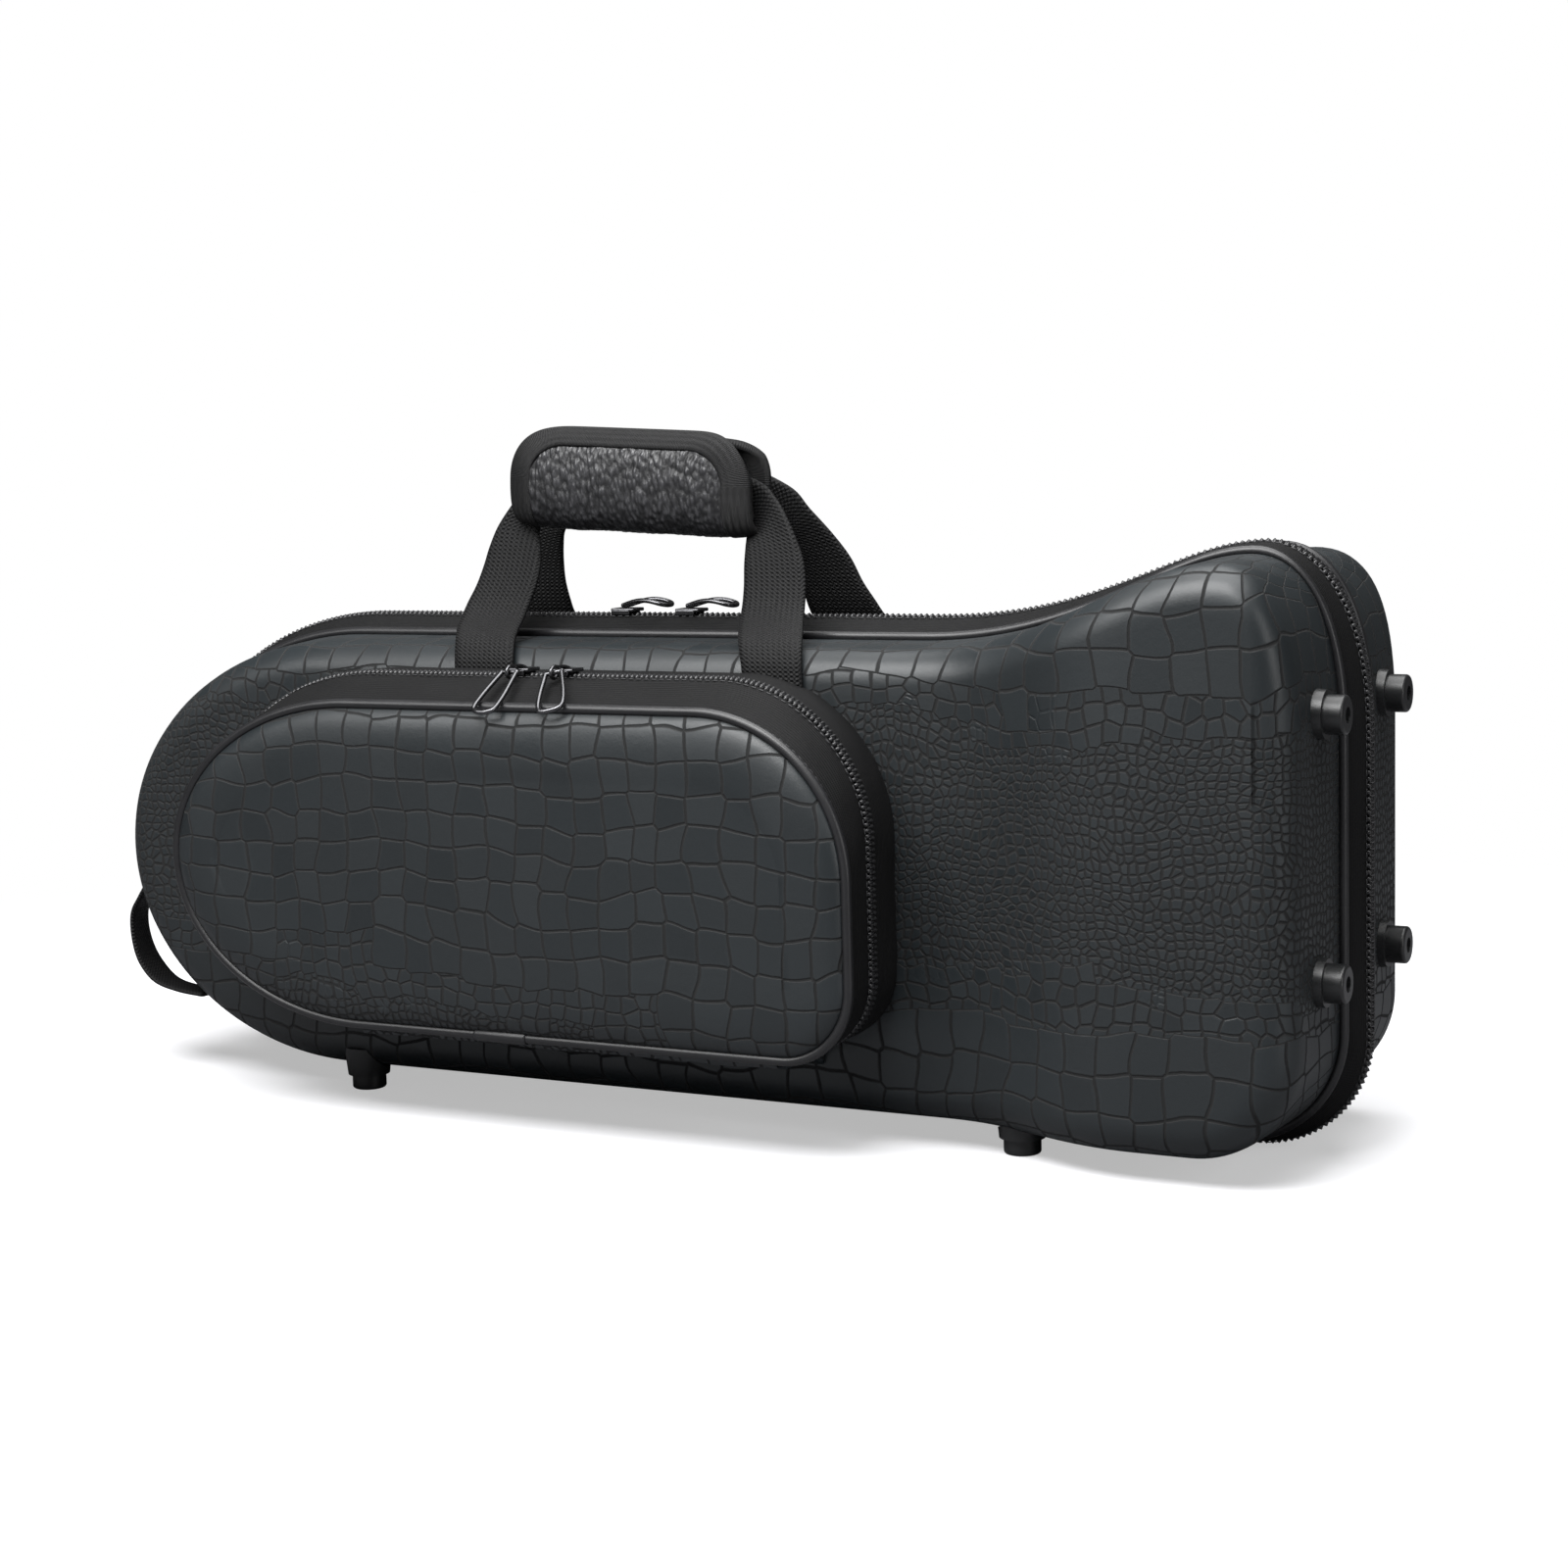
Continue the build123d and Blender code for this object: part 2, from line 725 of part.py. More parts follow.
def make_strap(side, left_x, right_x, grip_y):
    """One webbing strap of the handle, free above its stitching."""
    depth = side * strap_depth
    with BuildPart() as strap:
        for x in (left_x, right_x):
            with BuildSketch(across(x - webbing / 2)):
                with Locations((depth, strap_pivot_z)):
                    Circle(webbing_wall / 2)
            extrude(amount=webbing)
        sections = strap_sections(left_x, right_x, depth, grip_y)
        for pair in zip(sections, sections[1:]):
            for point, along, side_way, width in pair:
                with BuildSketch(Plane(origin=point, x_dir=side_way, z_dir=along)):
                    Rectangle(width, webbing_wall)
            loft(ruled=True)
    keep(strap.part, side_name(side) + "_strap")
    keep(strap_ends(side, (left_x, right_x)), side_name(side) + "_strap_ends")


def strap_ends(side, legs):
    """Sewn ends of a strap, which follow the shell's shoulder."""
    top = strap_pivot_z - webbing_wall / 2 - fit_gap
    near = strap_depth - webbing_wall / 2
    low_y = min(side * near, side * tab_depth)
    high_y = max(side * near, side * tab_depth)
    with BuildPart() as ends:
        add(moulded_half(side, -webbing_wall))
        with BuildSketch(level(tab_end_z)):
            for x in legs:
                with Locations((x, (low_y + high_y) / 2)):
                    Rectangle(webbing, high_y - low_y)
        extrude(amount=top - tab_end_z, mode=Mode.INTERSECT)
        with BuildSketch(level(tab_end_z)):
            for x in legs:
                with Locations((x, side * strap_depth)):
                    Rectangle(webbing, webbing_wall)
        extrude(amount=top - tab_end_z)
        add(moulded_half(side, 0.0), mode=Mode.SUBTRACT)
    return ends.part


def make_wrap():
    """Padded sleeve round the front strap, open below at both ends for the legs."""
    half = wrap_length / 2
    with BuildPart() as handle_wrap:
        with BuildSketch(across_wrap(-half)):
            RectangleRounded(wrap_width, wrap_height, wrap_round)
            RectangleRounded(wrap_width - 2 * wrap_pad, wrap_height - 2 * wrap_pad,
                             wrap_round - wrap_pad, mode=Mode.SUBTRACT)
        extrude(amount=wrap_length)
        for end in (-1, 1):
            with BuildSketch(across_wrap(end * half)):
                with Locations((0, -wrap_height / 2)):
                    Rectangle(wrap_width - 2 * wrap_pad, wrap_height)
            extrude(amount=-end * wrap_mouth, mode=Mode.SUBTRACT)
    keep(handle_wrap.part, "handle_wrap")


def across_wrap(along):
    """Plane across the wrap at a distance along it from its middle."""
    lean = Vector(1, 0, 0).rotate(Axis.Y, wrap_tilt)
    middle = Vector(*case_point(wrap_x, front_grip_y, wrap_z))
    return Plane(origin=middle + lean * along, x_dir=(0, 1, 0), z_dir=lean)


def flap_shell(inner, outer):
    """Skin round the wrap's front and top, between two distances from it."""
    top = wrap_height / 2 + outer
    low = flap_low - wrap_height / 2
    with BuildPart() as skin:
        with BuildSketch(across_wrap(-wrap_length / 2)):
            RectangleRounded(wrap_width + 2 * outer, wrap_height + 2 * outer, wrap_round + outer)
            RectangleRounded(wrap_width + 2 * inner, wrap_height + 2 * inner, wrap_round + inner,
                             mode=Mode.SUBTRACT)
            with Locations((-wrap_width / 2, (top + low) / 2)):
                Rectangle(2 * flap_hook, top - low, mode=Mode.INTERSECT)
        extrude(amount=wrap_length)
    return skin.part


def flap_front(inset):
    """Front view of the flap: square below, with round upper corners."""
    top = wrap_height / 2 + binding_wall + flap_wall + flap_spare
    low = -wrap_height / 2
    side = wrap_length / 2 - inset
    sharp = 0.01
    face = Plane(origin=case_point(wrap_x, 0, wrap_z), x_dir=Vector(1, 0, 0).rotate(Axis.Y, wrap_tilt),
                 z_dir=(0, -1, 0))
    with BuildPart() as prism:
        with BuildSketch(face):
            with BuildLine():
                FilletPolyline((-side, low), (side, low), (side, top - inset), (-side, top - inset),
                               radius=(sharp, sharp, flap_round - inset, flap_round - inset), close=True)
            make_face()
        extrude(amount=wrap_width * 2, both=True)
    return prism.part


def make_flap():
    """Hook-and-loop flap that closes over the front of the wrap, and its binding."""
    with BuildPart() as wrap_flap:
        add(flap_shell(fit_gap, fit_gap + flap_wall))
        add(flap_front(0.0), mode=Mode.INTERSECT)
    keep(wrap_flap.part, "wrap_flap")
    with BuildPart() as flap_binding:
        add(flap_shell(fit_gap + flap_wall, fit_gap + flap_wall + binding_wall))
        add(flap_front(0.0), mode=Mode.INTERSECT)
        add(flap_front(binding_wide), mode=Mode.SUBTRACT)
    keep(flap_binding.part, "flap_binding")


def make_tail_loop():
    """Short webbing loop on the tail of the front shell."""
    with BuildPart() as tail_loop:
        with BuildSketch(upright(-loop_depth + loop_width / 2)):
            with Locations((loop_x, loop_z)):
                Ellipse(loop_reach, loop_rise)
                Ellipse(loop_reach - webbing_wall, loop_rise - webbing_wall, mode=Mode.SUBTRACT)
        extrude(amount=loop_width)
        add(moulded_half(FRONT, 0.0), mode=Mode.SUBTRACT)
    keep(tail_loop.part, "tail_loop")


# ---- zip sliders ----


def slider_body(x, depth, crest, own):
    """Slider on a chain: a plate above it, a thin post in the gap and a foot on one side."""
    half = slider_length / 2
    deck = crest + chain_rise + fit_gap
    foot_low = crest - chain_sink - fit_gap - slider_wall
    foot_y = own * (chain_gap + chain_width - fit_gap)
    lip_near = own * (chain_gap + chain_width + fit_gap)
    lip_far = own * slider_side
    add(block((x - half, depth - slider_side, deck), (x + half, depth + slider_side, deck + slider_wall)))
    add(block((x - half / 2, depth - post_half, foot_low), (x + half / 2, depth + post_half, deck)))
    add(block((x - half, depth + min(-own * post_half, foot_y), foot_low),
              (x + half, depth + max(-own * post_half, foot_y), foot_low + slider_wall)))
    add(block((x - half, depth + min(lip_near, lip_far), crest + fit_gap),
              (x + half, depth + max(lip_near, lip_far), deck)))


def bridge_hole():
    return pull_wire + 2 * pull_play


def make_main_slider(x, name):
    """Slider of the main zip, and its pull, which lies along the zip."""
    crest = rim_top + swell_top
    deck = crest + chain_rise + fit_gap + slider_wall
    pivot_z = deck + bridge_hole() / 2
    outer = bridge_hole() / 2 + bridge_wall
    wide = bridge_wide / 2
    with BuildPart() as slider:
        slider_body(x, 0.0, crest, BACK)
        add(block((x - outer, -wide, deck), (x + outer, wide, pivot_z + outer)))
        hole = bridge_hole() / 2
        add(block((x - hole, -wide, deck), (x + hole, wide, pivot_z + hole)), mode=Mode.SUBTRACT)
    keep(slider.part, "main_slider_" + name)
    with BuildPart() as pull:
        with BuildSketch(level(pivot_z - pull_wire / 2)):
            with Locations((x + (pull_length - pull_wire) / 2, 0)):
                pull_ring(pull_length)
        extrude(amount=pull_wire)
    keep(pull.part, "main_pull_" + name)


def pull_ring(length):
    """Wire loop of a pull, seen from above, with round ends."""
    RectangleRounded(length, pull_width, pull_round)
    RectangleRounded(length - 2 * pull_wire, pull_width - 2 * pull_wire,
                     pull_round - pull_wire / 2, mode=Mode.SUBTRACT)


def make_pocket_slider(x, name):
    """Slider of the pocket's zip, and its pull, which leans over the piping."""
    crest = pocket_top + pocket_lift
    deck = crest + chain_rise + fit_gap
    pivot_y = -pocket_zip_depth - pocket_pivot_out
    pivot_z = crest + pocket_pivot_drop
    hole = bridge_hole() / 2
    outer = hole + bridge_wall
    wide = bridge_wide / 2
    with BuildPart() as slider:
        slider_body(x, -pocket_zip_depth, crest, FRONT)
        add(block((x - wide, pivot_y, deck), (x + wide, -pocket_zip_depth, deck + slider_wall)))
        add(block((x - wide, pivot_y - outer, pivot_z - outer), (x + wide, pivot_y + outer, pivot_z + outer)))
        add(block((x - wide, pivot_y - hole, pivot_z - hole), (x + wide, pivot_y + hole, pivot_z + hole)),
            mode=Mode.SUBTRACT)
    keep(slider.part, "pocket_slider_" + name)
    slope = Vector(0, -1, 0).rotate(Axis.X, pocket_pull_slope)
    face = Plane(origin=case_point(x, pivot_y, pivot_z), x_dir=(1, 0, 0), z_dir=Vector(1, 0, 0).cross(slope))
    with BuildPart() as pull:
        with BuildSketch(face.offset(-pull_wire / 2)):
            with Locations((0, (pocket_pull_length - pull_wire) / 2)):
                with Locations(Location((0, 0, 0), (0, 0, 90))):
                    pull_ring(pocket_pull_length)
        extrude(amount=pull_wire)
    keep(pull.part, "pocket_pull_" + name)


os.makedirs("parts", exist_ok=True)
for half_side in (FRONT, BACK):
    make_shell(half_side)
    make_studs(half_side)
    make_band(half_side)
    make_chain(half_side)
    make_hinge_leaf(half_side)
    make_piping(half_side)
    make_padding(half_side)
make_accessory_tray()
make_mouthpiece_holder()
make_pocket_base()
make_pocket_hinge_strip()
make_pocket_cover()
make_pocket_piping()
make_strap(FRONT, left_leg_x, right_leg_x, front_grip_y)
make_strap(BACK, left_leg_x, back_right_leg_x, back_grip_y)
make_wrap()
make_flap()
make_tail_loop()
make_main_slider(main_slider_left, "left")
make_main_slider(main_slider_right, "right")
make_pocket_slider(pocket_slider_left, "left")
make_pocket_slider(pocket_slider_right, "right")
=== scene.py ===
import bpy
import bmesh
import json
import math
from mathutils import Vector, Matrix, noise


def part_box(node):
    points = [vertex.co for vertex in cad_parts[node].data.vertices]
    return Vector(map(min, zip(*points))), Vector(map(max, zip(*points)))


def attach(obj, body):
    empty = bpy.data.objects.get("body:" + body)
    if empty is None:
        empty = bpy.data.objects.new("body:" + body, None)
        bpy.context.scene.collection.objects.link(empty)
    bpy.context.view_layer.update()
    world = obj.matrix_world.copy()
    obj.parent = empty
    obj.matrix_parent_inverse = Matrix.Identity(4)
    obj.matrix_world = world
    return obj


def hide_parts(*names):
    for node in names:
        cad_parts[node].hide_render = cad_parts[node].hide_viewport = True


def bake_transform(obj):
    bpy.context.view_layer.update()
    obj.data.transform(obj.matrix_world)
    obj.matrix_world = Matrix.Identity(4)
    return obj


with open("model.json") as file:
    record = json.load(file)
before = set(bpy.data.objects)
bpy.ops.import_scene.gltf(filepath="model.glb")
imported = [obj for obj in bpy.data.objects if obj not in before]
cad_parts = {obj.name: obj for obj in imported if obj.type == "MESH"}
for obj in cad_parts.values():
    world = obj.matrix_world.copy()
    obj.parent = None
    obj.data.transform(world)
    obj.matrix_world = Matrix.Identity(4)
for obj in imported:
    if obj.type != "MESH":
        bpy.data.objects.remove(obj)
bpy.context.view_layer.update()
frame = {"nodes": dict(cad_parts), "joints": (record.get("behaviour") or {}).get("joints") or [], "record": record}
nodes = frame["nodes"]
mm = 0.001

# Case coordinates, in millimetres: x = 0 at the bell's end wall, y = 0 where the halves meet
# (the front is negative), z = 0 on the floor.
studFace = 11.4  # from the end wall out to the ends of the studs
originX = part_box("back_bumpers")[1].x - studFace * mm
originY = (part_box("front_zip")[1].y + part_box("back_zip")[0].y) / 2
halves = ((-1, "front", "lid"), (1, "back", "root"))  # side of y = 0, word in the names, body


def place(x, y, z):
    return Vector((originX + x * mm, originY + y * mm, z * mm))


def toCase(point):
    return Vector(((point.x - originX) / mm, (point.y - originY) / mm, point.z / mm))


def clamp(value):
    return max(0.0, min(1.0, value))


def turnsOf(count, start=0.0):
    return [2 * math.pi * (k + start) / count for k in range(count)]


# fitted to the photograph: place in case millimetres, angles in degrees
cameraView = {
    "place": (293.6, -1021.2, 277.6),
    "yaw": 27.498,
    "pitch": 7.121,
    "roll": -1.536,
    "lens": 64.58,
    "sensor": 36.0,
}


def makeCamera(view):
    yaw, pitch, roll = (math.radians(view[key]) for key in ("yaw", "pitch", "roll"))
    ahead = Vector((-math.sin(yaw) * math.cos(pitch), math.cos(yaw) * math.cos(pitch), -math.sin(pitch)))
    right = Vector((math.cos(yaw), math.sin(yaw), 0))
    up = right.cross(ahead)
    sideways = right * math.cos(roll) + up * math.sin(roll)
    upwards = up * math.cos(roll) - right * math.sin(roll)
    data = bpy.data.cameras.new("camera")
    data.lens = view["lens"]
    data.sensor_width = view["sensor"]
    data.clip_end = 50
    camera = bpy.data.objects.new("camera", data)
    bpy.context.scene.collection.objects.link(camera)
    turn = Matrix((sideways, upwards, -ahead)).transposed().to_4x4()
    camera.matrix_world = Matrix.Translation(place(*view["place"])) @ turn
    bpy.context.scene.camera = camera


makeCamera(cameraView)
print("camera placed")


def newMaterial(name):
    material = bpy.data.materials.new(name)
    material.use_nodes = True
    tree = material.node_tree
    return material, tree, tree.nodes["Principled BSDF"], tree.nodes.new("ShaderNodeTexCoord")


# links a socket to an input, or sets the input to a number or a colour
def feed(target, value):
    if isinstance(value, bpy.types.NodeSocket):
        target.id_data.links.new(value, target)
    elif isinstance(value, tuple) and len(target.default_value) == 4:
        target.default_value = (*value, 1)
    else:
        target.default_value = value


def addNode(tree, kind, inputs=None, **settings):
    made = tree.nodes.new("ShaderNode" + kind)
    for key, value in settings.items():
        setattr(made, key, value)
    for key, value in (inputs or {}).items():
        feed(made.inputs[key], value)
    return made


def mathNode(tree, operation, *values, cut=False):
    return addNode(tree, "Math", dict(enumerate(values)), operation=operation, use_clamp=cut).outputs[0]


def times(tree, first, second):
    return mathNode(tree, "MULTIPLY", first, second)


def plus(tree, first, second):
    return mathNode(tree, "ADD", first, second)


def ramp(tree, source, low, high, outLow=0.0, outHigh=1.0):
    inputs = {"Value": source, "From Min": low, "From Max": high, "To Min": outLow, "To Max": outHigh}
    return addNode(tree, "MapRange", inputs, interpolation_type="SMOOTHSTEP").outputs["Result"]


def mixValue(tree, share, first, second):
    inputs = {"Factor": share, "A": first, "B": second}
    return addNode(tree, "Mix", inputs, data_type="FLOAT").outputs["Result"]


def mixColour(tree, share, first, second):
    return addNode(tree, "Mix", {0: share, 6: first, 7: second}, data_type="RGBA").outputs[2]


def noiseNode(tree, vector, scale, detail=2.0, roughness=0.5, output="Fac"):
    inputs = {"Vector": vector, "Scale": scale, "Detail": detail, "Roughness": roughness}
    return addNode(tree, "TexNoise", inputs).outputs[output]


def bumpNode(tree, height, deep, strength=1.0, before=None):
    inputs = {"Height": height, "Distance": deep * mm, "Strength": strength}
    if before is not None:
        inputs["Normal"] = before
    return addNode(tree, "Bump", inputs).outputs["Normal"]


# leatherette embossed with reptile scales of three sizes, its crevices darkened as painted shade and the lips
# beside them paler in patches as a painted highlight
scaleLook = {
    "largeScale": 14.2,      # mm across a large scale
    "middleScale": 7.0,
    "smallScale": 3.7,
    "largeOrder": 0.24,      # 0 is a plain grid, 1 is quite random
    "middleOrder": 0.45,
    "smallOrder": 0.66,
    "drift": 20.0,           # mm that the rows wander
    "driftSize": 55.0,
    "largeCrevice": 0.62,    # mm from the middle of a crevice to its lip
    "middleCrevice": 0.55,
    "smallCrevice": 0.60,
    "ragged": 0.30,          # mm that the lips fray
    "raggedSize": 1.6,
    "dark": (0.20, 0.85),    # mm from the middle of a crevice: quite dark with painted shade, then clear of it
    "deep": 0.24,            # mm of relief
    "dimple": 0.22,          # shares of the relief
    "uneven": 0.2,
    "grainDeep": 0.05,       # mm
    "faceColour": (0.0092, 0.0124, 0.0142),
    "paleColour": (0.0148, 0.0194, 0.0220),
    # painted shade down in the crevices
    "creviceShade": (0.0016, 0.0020, 0.0023),
    # painted highlight on the lips beside the crevices
    "lipHighlightColour": (0.034, 0.040, 0.044),
    "lipShare": 0.16,
    "lipRise": (0.6, 0.9),   # mm from the middle of a crevice where the painted highlight on the lip comes and goes
    "lipFall": (1.0, 1.7),
    "glossLow": 0.37,
    "glossHigh": 0.49,
    "creviceRough": 0.85,
    "specular": 0.5,
}


# wherePlaces takes (tree, large cell, middle cell) and gives 0 for large and 1 for smaller scales,
# then 0 for middle and 1 for small ones. The cells are places on the unfolded skin in millimetres.
def leatherette(name, look, wherePlaces):
    material, tree, shader, coords = newMaterial(name)
    position, skin = coords.outputs["Object"], coords.outputs["UV"]
    warp = noiseNode(tree, skin, 1 / look["driftSize"], output="Color")
    warpInputs = {0: warp, 1: (look["drift"], look["drift"], 0.0), 2: skin}
    warped = addNode(tree, "VectorMath", warpInputs, operation="MULTIPLY_ADD").outputs[0]
    fray = times(tree, noiseNode(tree, skin, 1 / look["raggedSize"], 2.0, 0.6), look["ragged"])
    cells, tones, edges, heights = {}, {}, {}, {}
    for size in ("large", "middle", "small"):
        inputs = {"Vector": warped, "Scale": 1.0 / look[size + "Scale"], "Randomness": look[size + "Order"]}
        cell, border = (addNode(tree, "TexVoronoi", inputs, feature=feature, voronoi_dimensions="2D").outputs
                        for feature in ("F1", "DISTANCE_TO_EDGE"))
        cells[size], tones[size] = cell["Position"], cell["Color"]
        distance = times(tree, border["Distance"], look[size + "Scale"])
        edges[size] = mathNode(tree, "SUBTRACT", distance, fray)
        heights[size] = ramp(tree, edges[size], 0.0, look[size + "Crevice"])
    smaller, smallest = wherePlaces(tree, cells["large"], cells["middle"])

    def pick(mixed, values):
        return mixed(tree, smaller, values["large"], mixed(tree, smallest, values["middle"], values["small"]))

    height, edge, tone = pick(mixValue, heights), pick(mixValue, edges), pick(mixColour, tones)
    shade, polish, lift = addNode(tree, "SeparateColor", {0: tone}).outputs
    grain = noiseNode(tree, position, 1500, 3.0, 0.6)
    dimples = noiseNode(tree, position, 330, 2.0, 0.55)
    paleShare = times(tree, shade, plus(tree, noiseNode(tree, position, 9), 0.2))
    face = mixColour(tree, paleShare, look["faceColour"], look["paleColour"])
    # painted highlight: the lips beside the crevices turn paler in noisy patches
    lip = times(tree, ramp(tree, edge, *look["lipRise"]), ramp(tree, edge, *look["lipFall"], 1.0, 0.0))
    patches = ramp(tree, noiseNode(tree, position, 26, 3.0, 0.6), 0.42, 0.72)
    lipHighlight = times(tree, lip, times(tree, patches, look["lipShare"]))
    face = mixColour(tree, lipHighlight, face, look["lipHighlightColour"])
    # painted shade: the colour goes nearly black towards the middle of each crevice
    opened = ramp(tree, edge, *look["dark"])
    feed(shader.inputs["Base Color"], mixColour(tree, opened, look["creviceShade"], face))
    gloss = mixValue(tree, polish, look["glossLow"], look["glossHigh"])
    gloss = mixValue(tree, opened, look["creviceRough"], gloss)
    feed(shader.inputs["Roughness"], plus(tree, gloss, times(tree, grain, 0.06)))
    relief = plus(tree, height, times(tree, lift, look["uneven"]))
    relief = plus(tree, relief, times(tree, dimples, look["dimple"]))
    formed = bumpNode(tree, relief, look["deep"])
    feed(shader.inputs["Normal"], bumpNode(tree, grain, look["grainDeep"], 0.8, formed))
    shader.inputs["Specular IOR Level"].default_value = look["specular"]
    return material


# a cell's x on the skin, and its z pushed about so that no border runs straight
def cellPlace(tree, cell):
    x, z = addNode(tree, "SeparateXYZ", {0: cell}).outputs[:2]
    return x, plus(tree, z, times(tree, noiseNode(tree, cell, 1 / 70.0), 60.0))


def above(tree, value, border):
    return ramp(tree, value, border, border + 2)


def below(tree, value, border):
    return ramp(tree, value, border, border + 2, 1.0, 0.0)


# small scales over the middle of the shells, large ones along the top and the bottom
def shellPlaces(tree, large, middle):
    made = []
    for cell, low, high in ((large, 96.0, 222.0), (middle, 110.0, 208.0)):
        x, z = cellPlace(tree, cell)
        made.append(times(tree, above(tree, z, low), below(tree, z, high)))
    return made


# smaller scales only in a patch low on the pocket's left half
def pocketPlaces(tree, large, middle):
    made = []
    for cell, high, right in ((large, 106.0, -232.0), (middle, 92.0, -262.0)):
        x, z = cellPlace(tree, cell)
        made.append(times(tree, below(tree, z, high), below(tree, x, right)))
    return made


shellLeather = leatherette("shellLeather", scaleLook, shellPlaces)
pocketLeather = leatherette("pocketLeather", {**scaleLook, "largeScale": 13.2}, pocketPlaces)


# plain weave (rib 0) or ribs (rib 1) from two crossing waves, pitch and deep in millimetres. The threads' crests
# are painted paler and the hollows between them darker as painted highlight and shade, over a cloudy tone of the
# cloth's own.
def wovenCloth(name, colour, pale, pitch, deep, rough=0.8, useUv=True, rib=1.0, shine=0.25):
    material, tree, shader, coords = newMaterial(name)
    position = coords.outputs["Object"]
    x, y, z = addNode(tree, "SeparateXYZ", {0: coords.outputs["UV"] if useUv else position}).outputs
    unit = 2 * math.pi * (1.0 if useUv else 1 / mm)
    across = mathNode(tree, "SINE", times(tree, x, unit / pitch[0]))
    along = mathNode(tree, "SINE", times(tree, y if useUv else z, unit / pitch[1]))
    weave = mathNode(tree, "MULTIPLY_ADD", times(tree, across, along), 0.5, 0.5)
    height = mixValue(tree, rib, weave, mathNode(tree, "MULTIPLY_ADD", along, 0.5, 0.5))
    fuzz = noiseNode(tree, position, 2200, 2.0, 0.7)
    cloud = noiseNode(tree, position, 60, 3.0, 0.6)
    # painted shade in the hollows between threads and painted highlight on their crests, plus the cloth's own
    # random cloudy tone
    tone = mathNode(tree, "ADD", times(tree, height, 0.6), times(tree, cloud, 0.5), cut=True)
    feed(shader.inputs["Base Color"], mixColour(tree, tone, colour, pale))
    relief = plus(tree, height, times(tree, fuzz, 0.35))
    feed(shader.inputs["Normal"], bumpNode(tree, relief, deep))
    shader.inputs["Roughness"].default_value = rough
    shader.inputs["Specular IOR Level"].default_value = shine
    return material


webbingCloth = wovenCloth("webbingCloth", (0.0010, 0.0010, 0.0011), (0.0085, 0.0085, 0.009), (2.4, 1.7), 0.55,
                          rough=0.65, rib=0.3, shine=0.22)
bandCloth = wovenCloth("bandCloth", (0.0018, 0.0018, 0.0019), (0.0080, 0.0080, 0.0084), (1.0, 1.0), 0.16,
                       rough=0.7, shine=0.15)
grosgrain = wovenCloth("grosgrain", (0.0018, 0.0018, 0.0020), (0.0085, 0.0085, 0.0090), (1.2, 0.9), 0.22,
                       rough=0.6, rib=0.7)
plushCloth = wovenCloth("plushCloth", (0.010, 0.010, 0.012), (0.028, 0.028, 0.032), (0.8, 0.8), 0.35,
                        rough=0.95, useUv=False, rib=0.0)
sleeveCloth = wovenCloth("sleeveCloth", (0.0018, 0.0018, 0.0020), (0.0075, 0.0075, 0.0080), (0.8, 0.8), 0.14,
                         rough=0.65)


def plainFinish(name, colour, rough, metallic=0.0, grainScale=900, grainDeep=0.03):
    material, tree, shader, coords = newMaterial(name)
    position = coords.outputs["Object"]
    cloud = noiseNode(tree, position, 90, 3.0, 0.6)
    pale = tuple(min(1.0, c * 1.5 + 0.004) for c in colour)
    feed(shader.inputs["Base Color"], mixColour(tree, cloud, colour, pale))
    feed(shader.inputs["Roughness"], plus(tree, times(tree, cloud, 0.16), rough - 0.08))
    grain = noiseNode(tree, position, grainScale, 3.0, 0.6)
    feed(shader.inputs["Normal"], bumpNode(tree, grain, grainDeep, 0.7))
    shader.inputs["Metallic"].default_value = metallic
    return material


pipingVinyl = plainFinish("pipingVinyl", (0.007, 0.007, 0.008), 0.40, grainDeep=0.015)
studRubber = plainFinish("studRubber", (0.008, 0.0085, 0.009), 0.36)
toothNylon = plainFinish("toothNylon", (0.014, 0.014, 0.015), 0.30, grainDeep=0.004)
darkMetal = plainFinish("darkMetal", (0.09, 0.09, 0.094), 0.27, metallic=1.0, grainDeep=0.005)
screwSteel = plainFinish("screwSteel", (0.32, 0.32, 0.33), 0.35, metallic=1.0, grainDeep=0.01)
trayPlastic = plainFinish("trayPlastic", (0.016, 0.016, 0.018), 0.45, grainScale=500, grainDeep=0.05)
stitchThread = plainFinish("stitchThread", (0.020, 0.020, 0.022), 0.6, grainDeep=0.02)

pebbleLook = {
    "size": 2.3,    # mm across a pebble
    "deep": 0.75,
    "colour": (0.007, 0.007, 0.008),
    # painted highlight on the raised crests
    "pale": (0.060, 0.060, 0.064),
    "roughLow": 0.5,
    "roughHigh": 0.3,
}


# soft leather with rounded pebbles and fine folds, their crests painted pale as a highlight over the dark leather
# in the hollows
def pebbleLeather(name, look):
    material, tree, shader, coords = newMaterial(name)
    mapInputs = {"Vector": coords.outputs["Object"], "Scale": (1.35, 0.8, 0.6)}
    stretched = addNode(tree, "Mapping", mapInputs).outputs["Vector"]
    pebbleInputs = {"Vector": stretched, "Scale": 1 / mm / look["size"], "Smoothness": 0.5}
    pebbles = addNode(tree, "TexVoronoi", pebbleInputs, feature="SMOOTH_F1").outputs["Distance"]
    folds = times(tree, noiseNode(tree, stretched, 260, 3.0, 0.6), 1.1)
    height = mathNode(tree, "SUBTRACT", folds, pebbles)
    # painted highlight: the higher the crest, the paler; the hollows stay dark
    share = ramp(tree, height, -0.2, 0.6)
    feed(shader.inputs["Base Color"], mixColour(tree, share, look["colour"], look["pale"]))
    feed(shader.inputs["Roughness"], ramp(tree, height, -0.2, 0.6, look["roughLow"], look["roughHigh"]))
    feed(shader.inputs["Normal"], bumpNode(tree, height, look["deep"]))
    return material


grainLeather = pebbleLeather("grainLeather", pebbleLook)

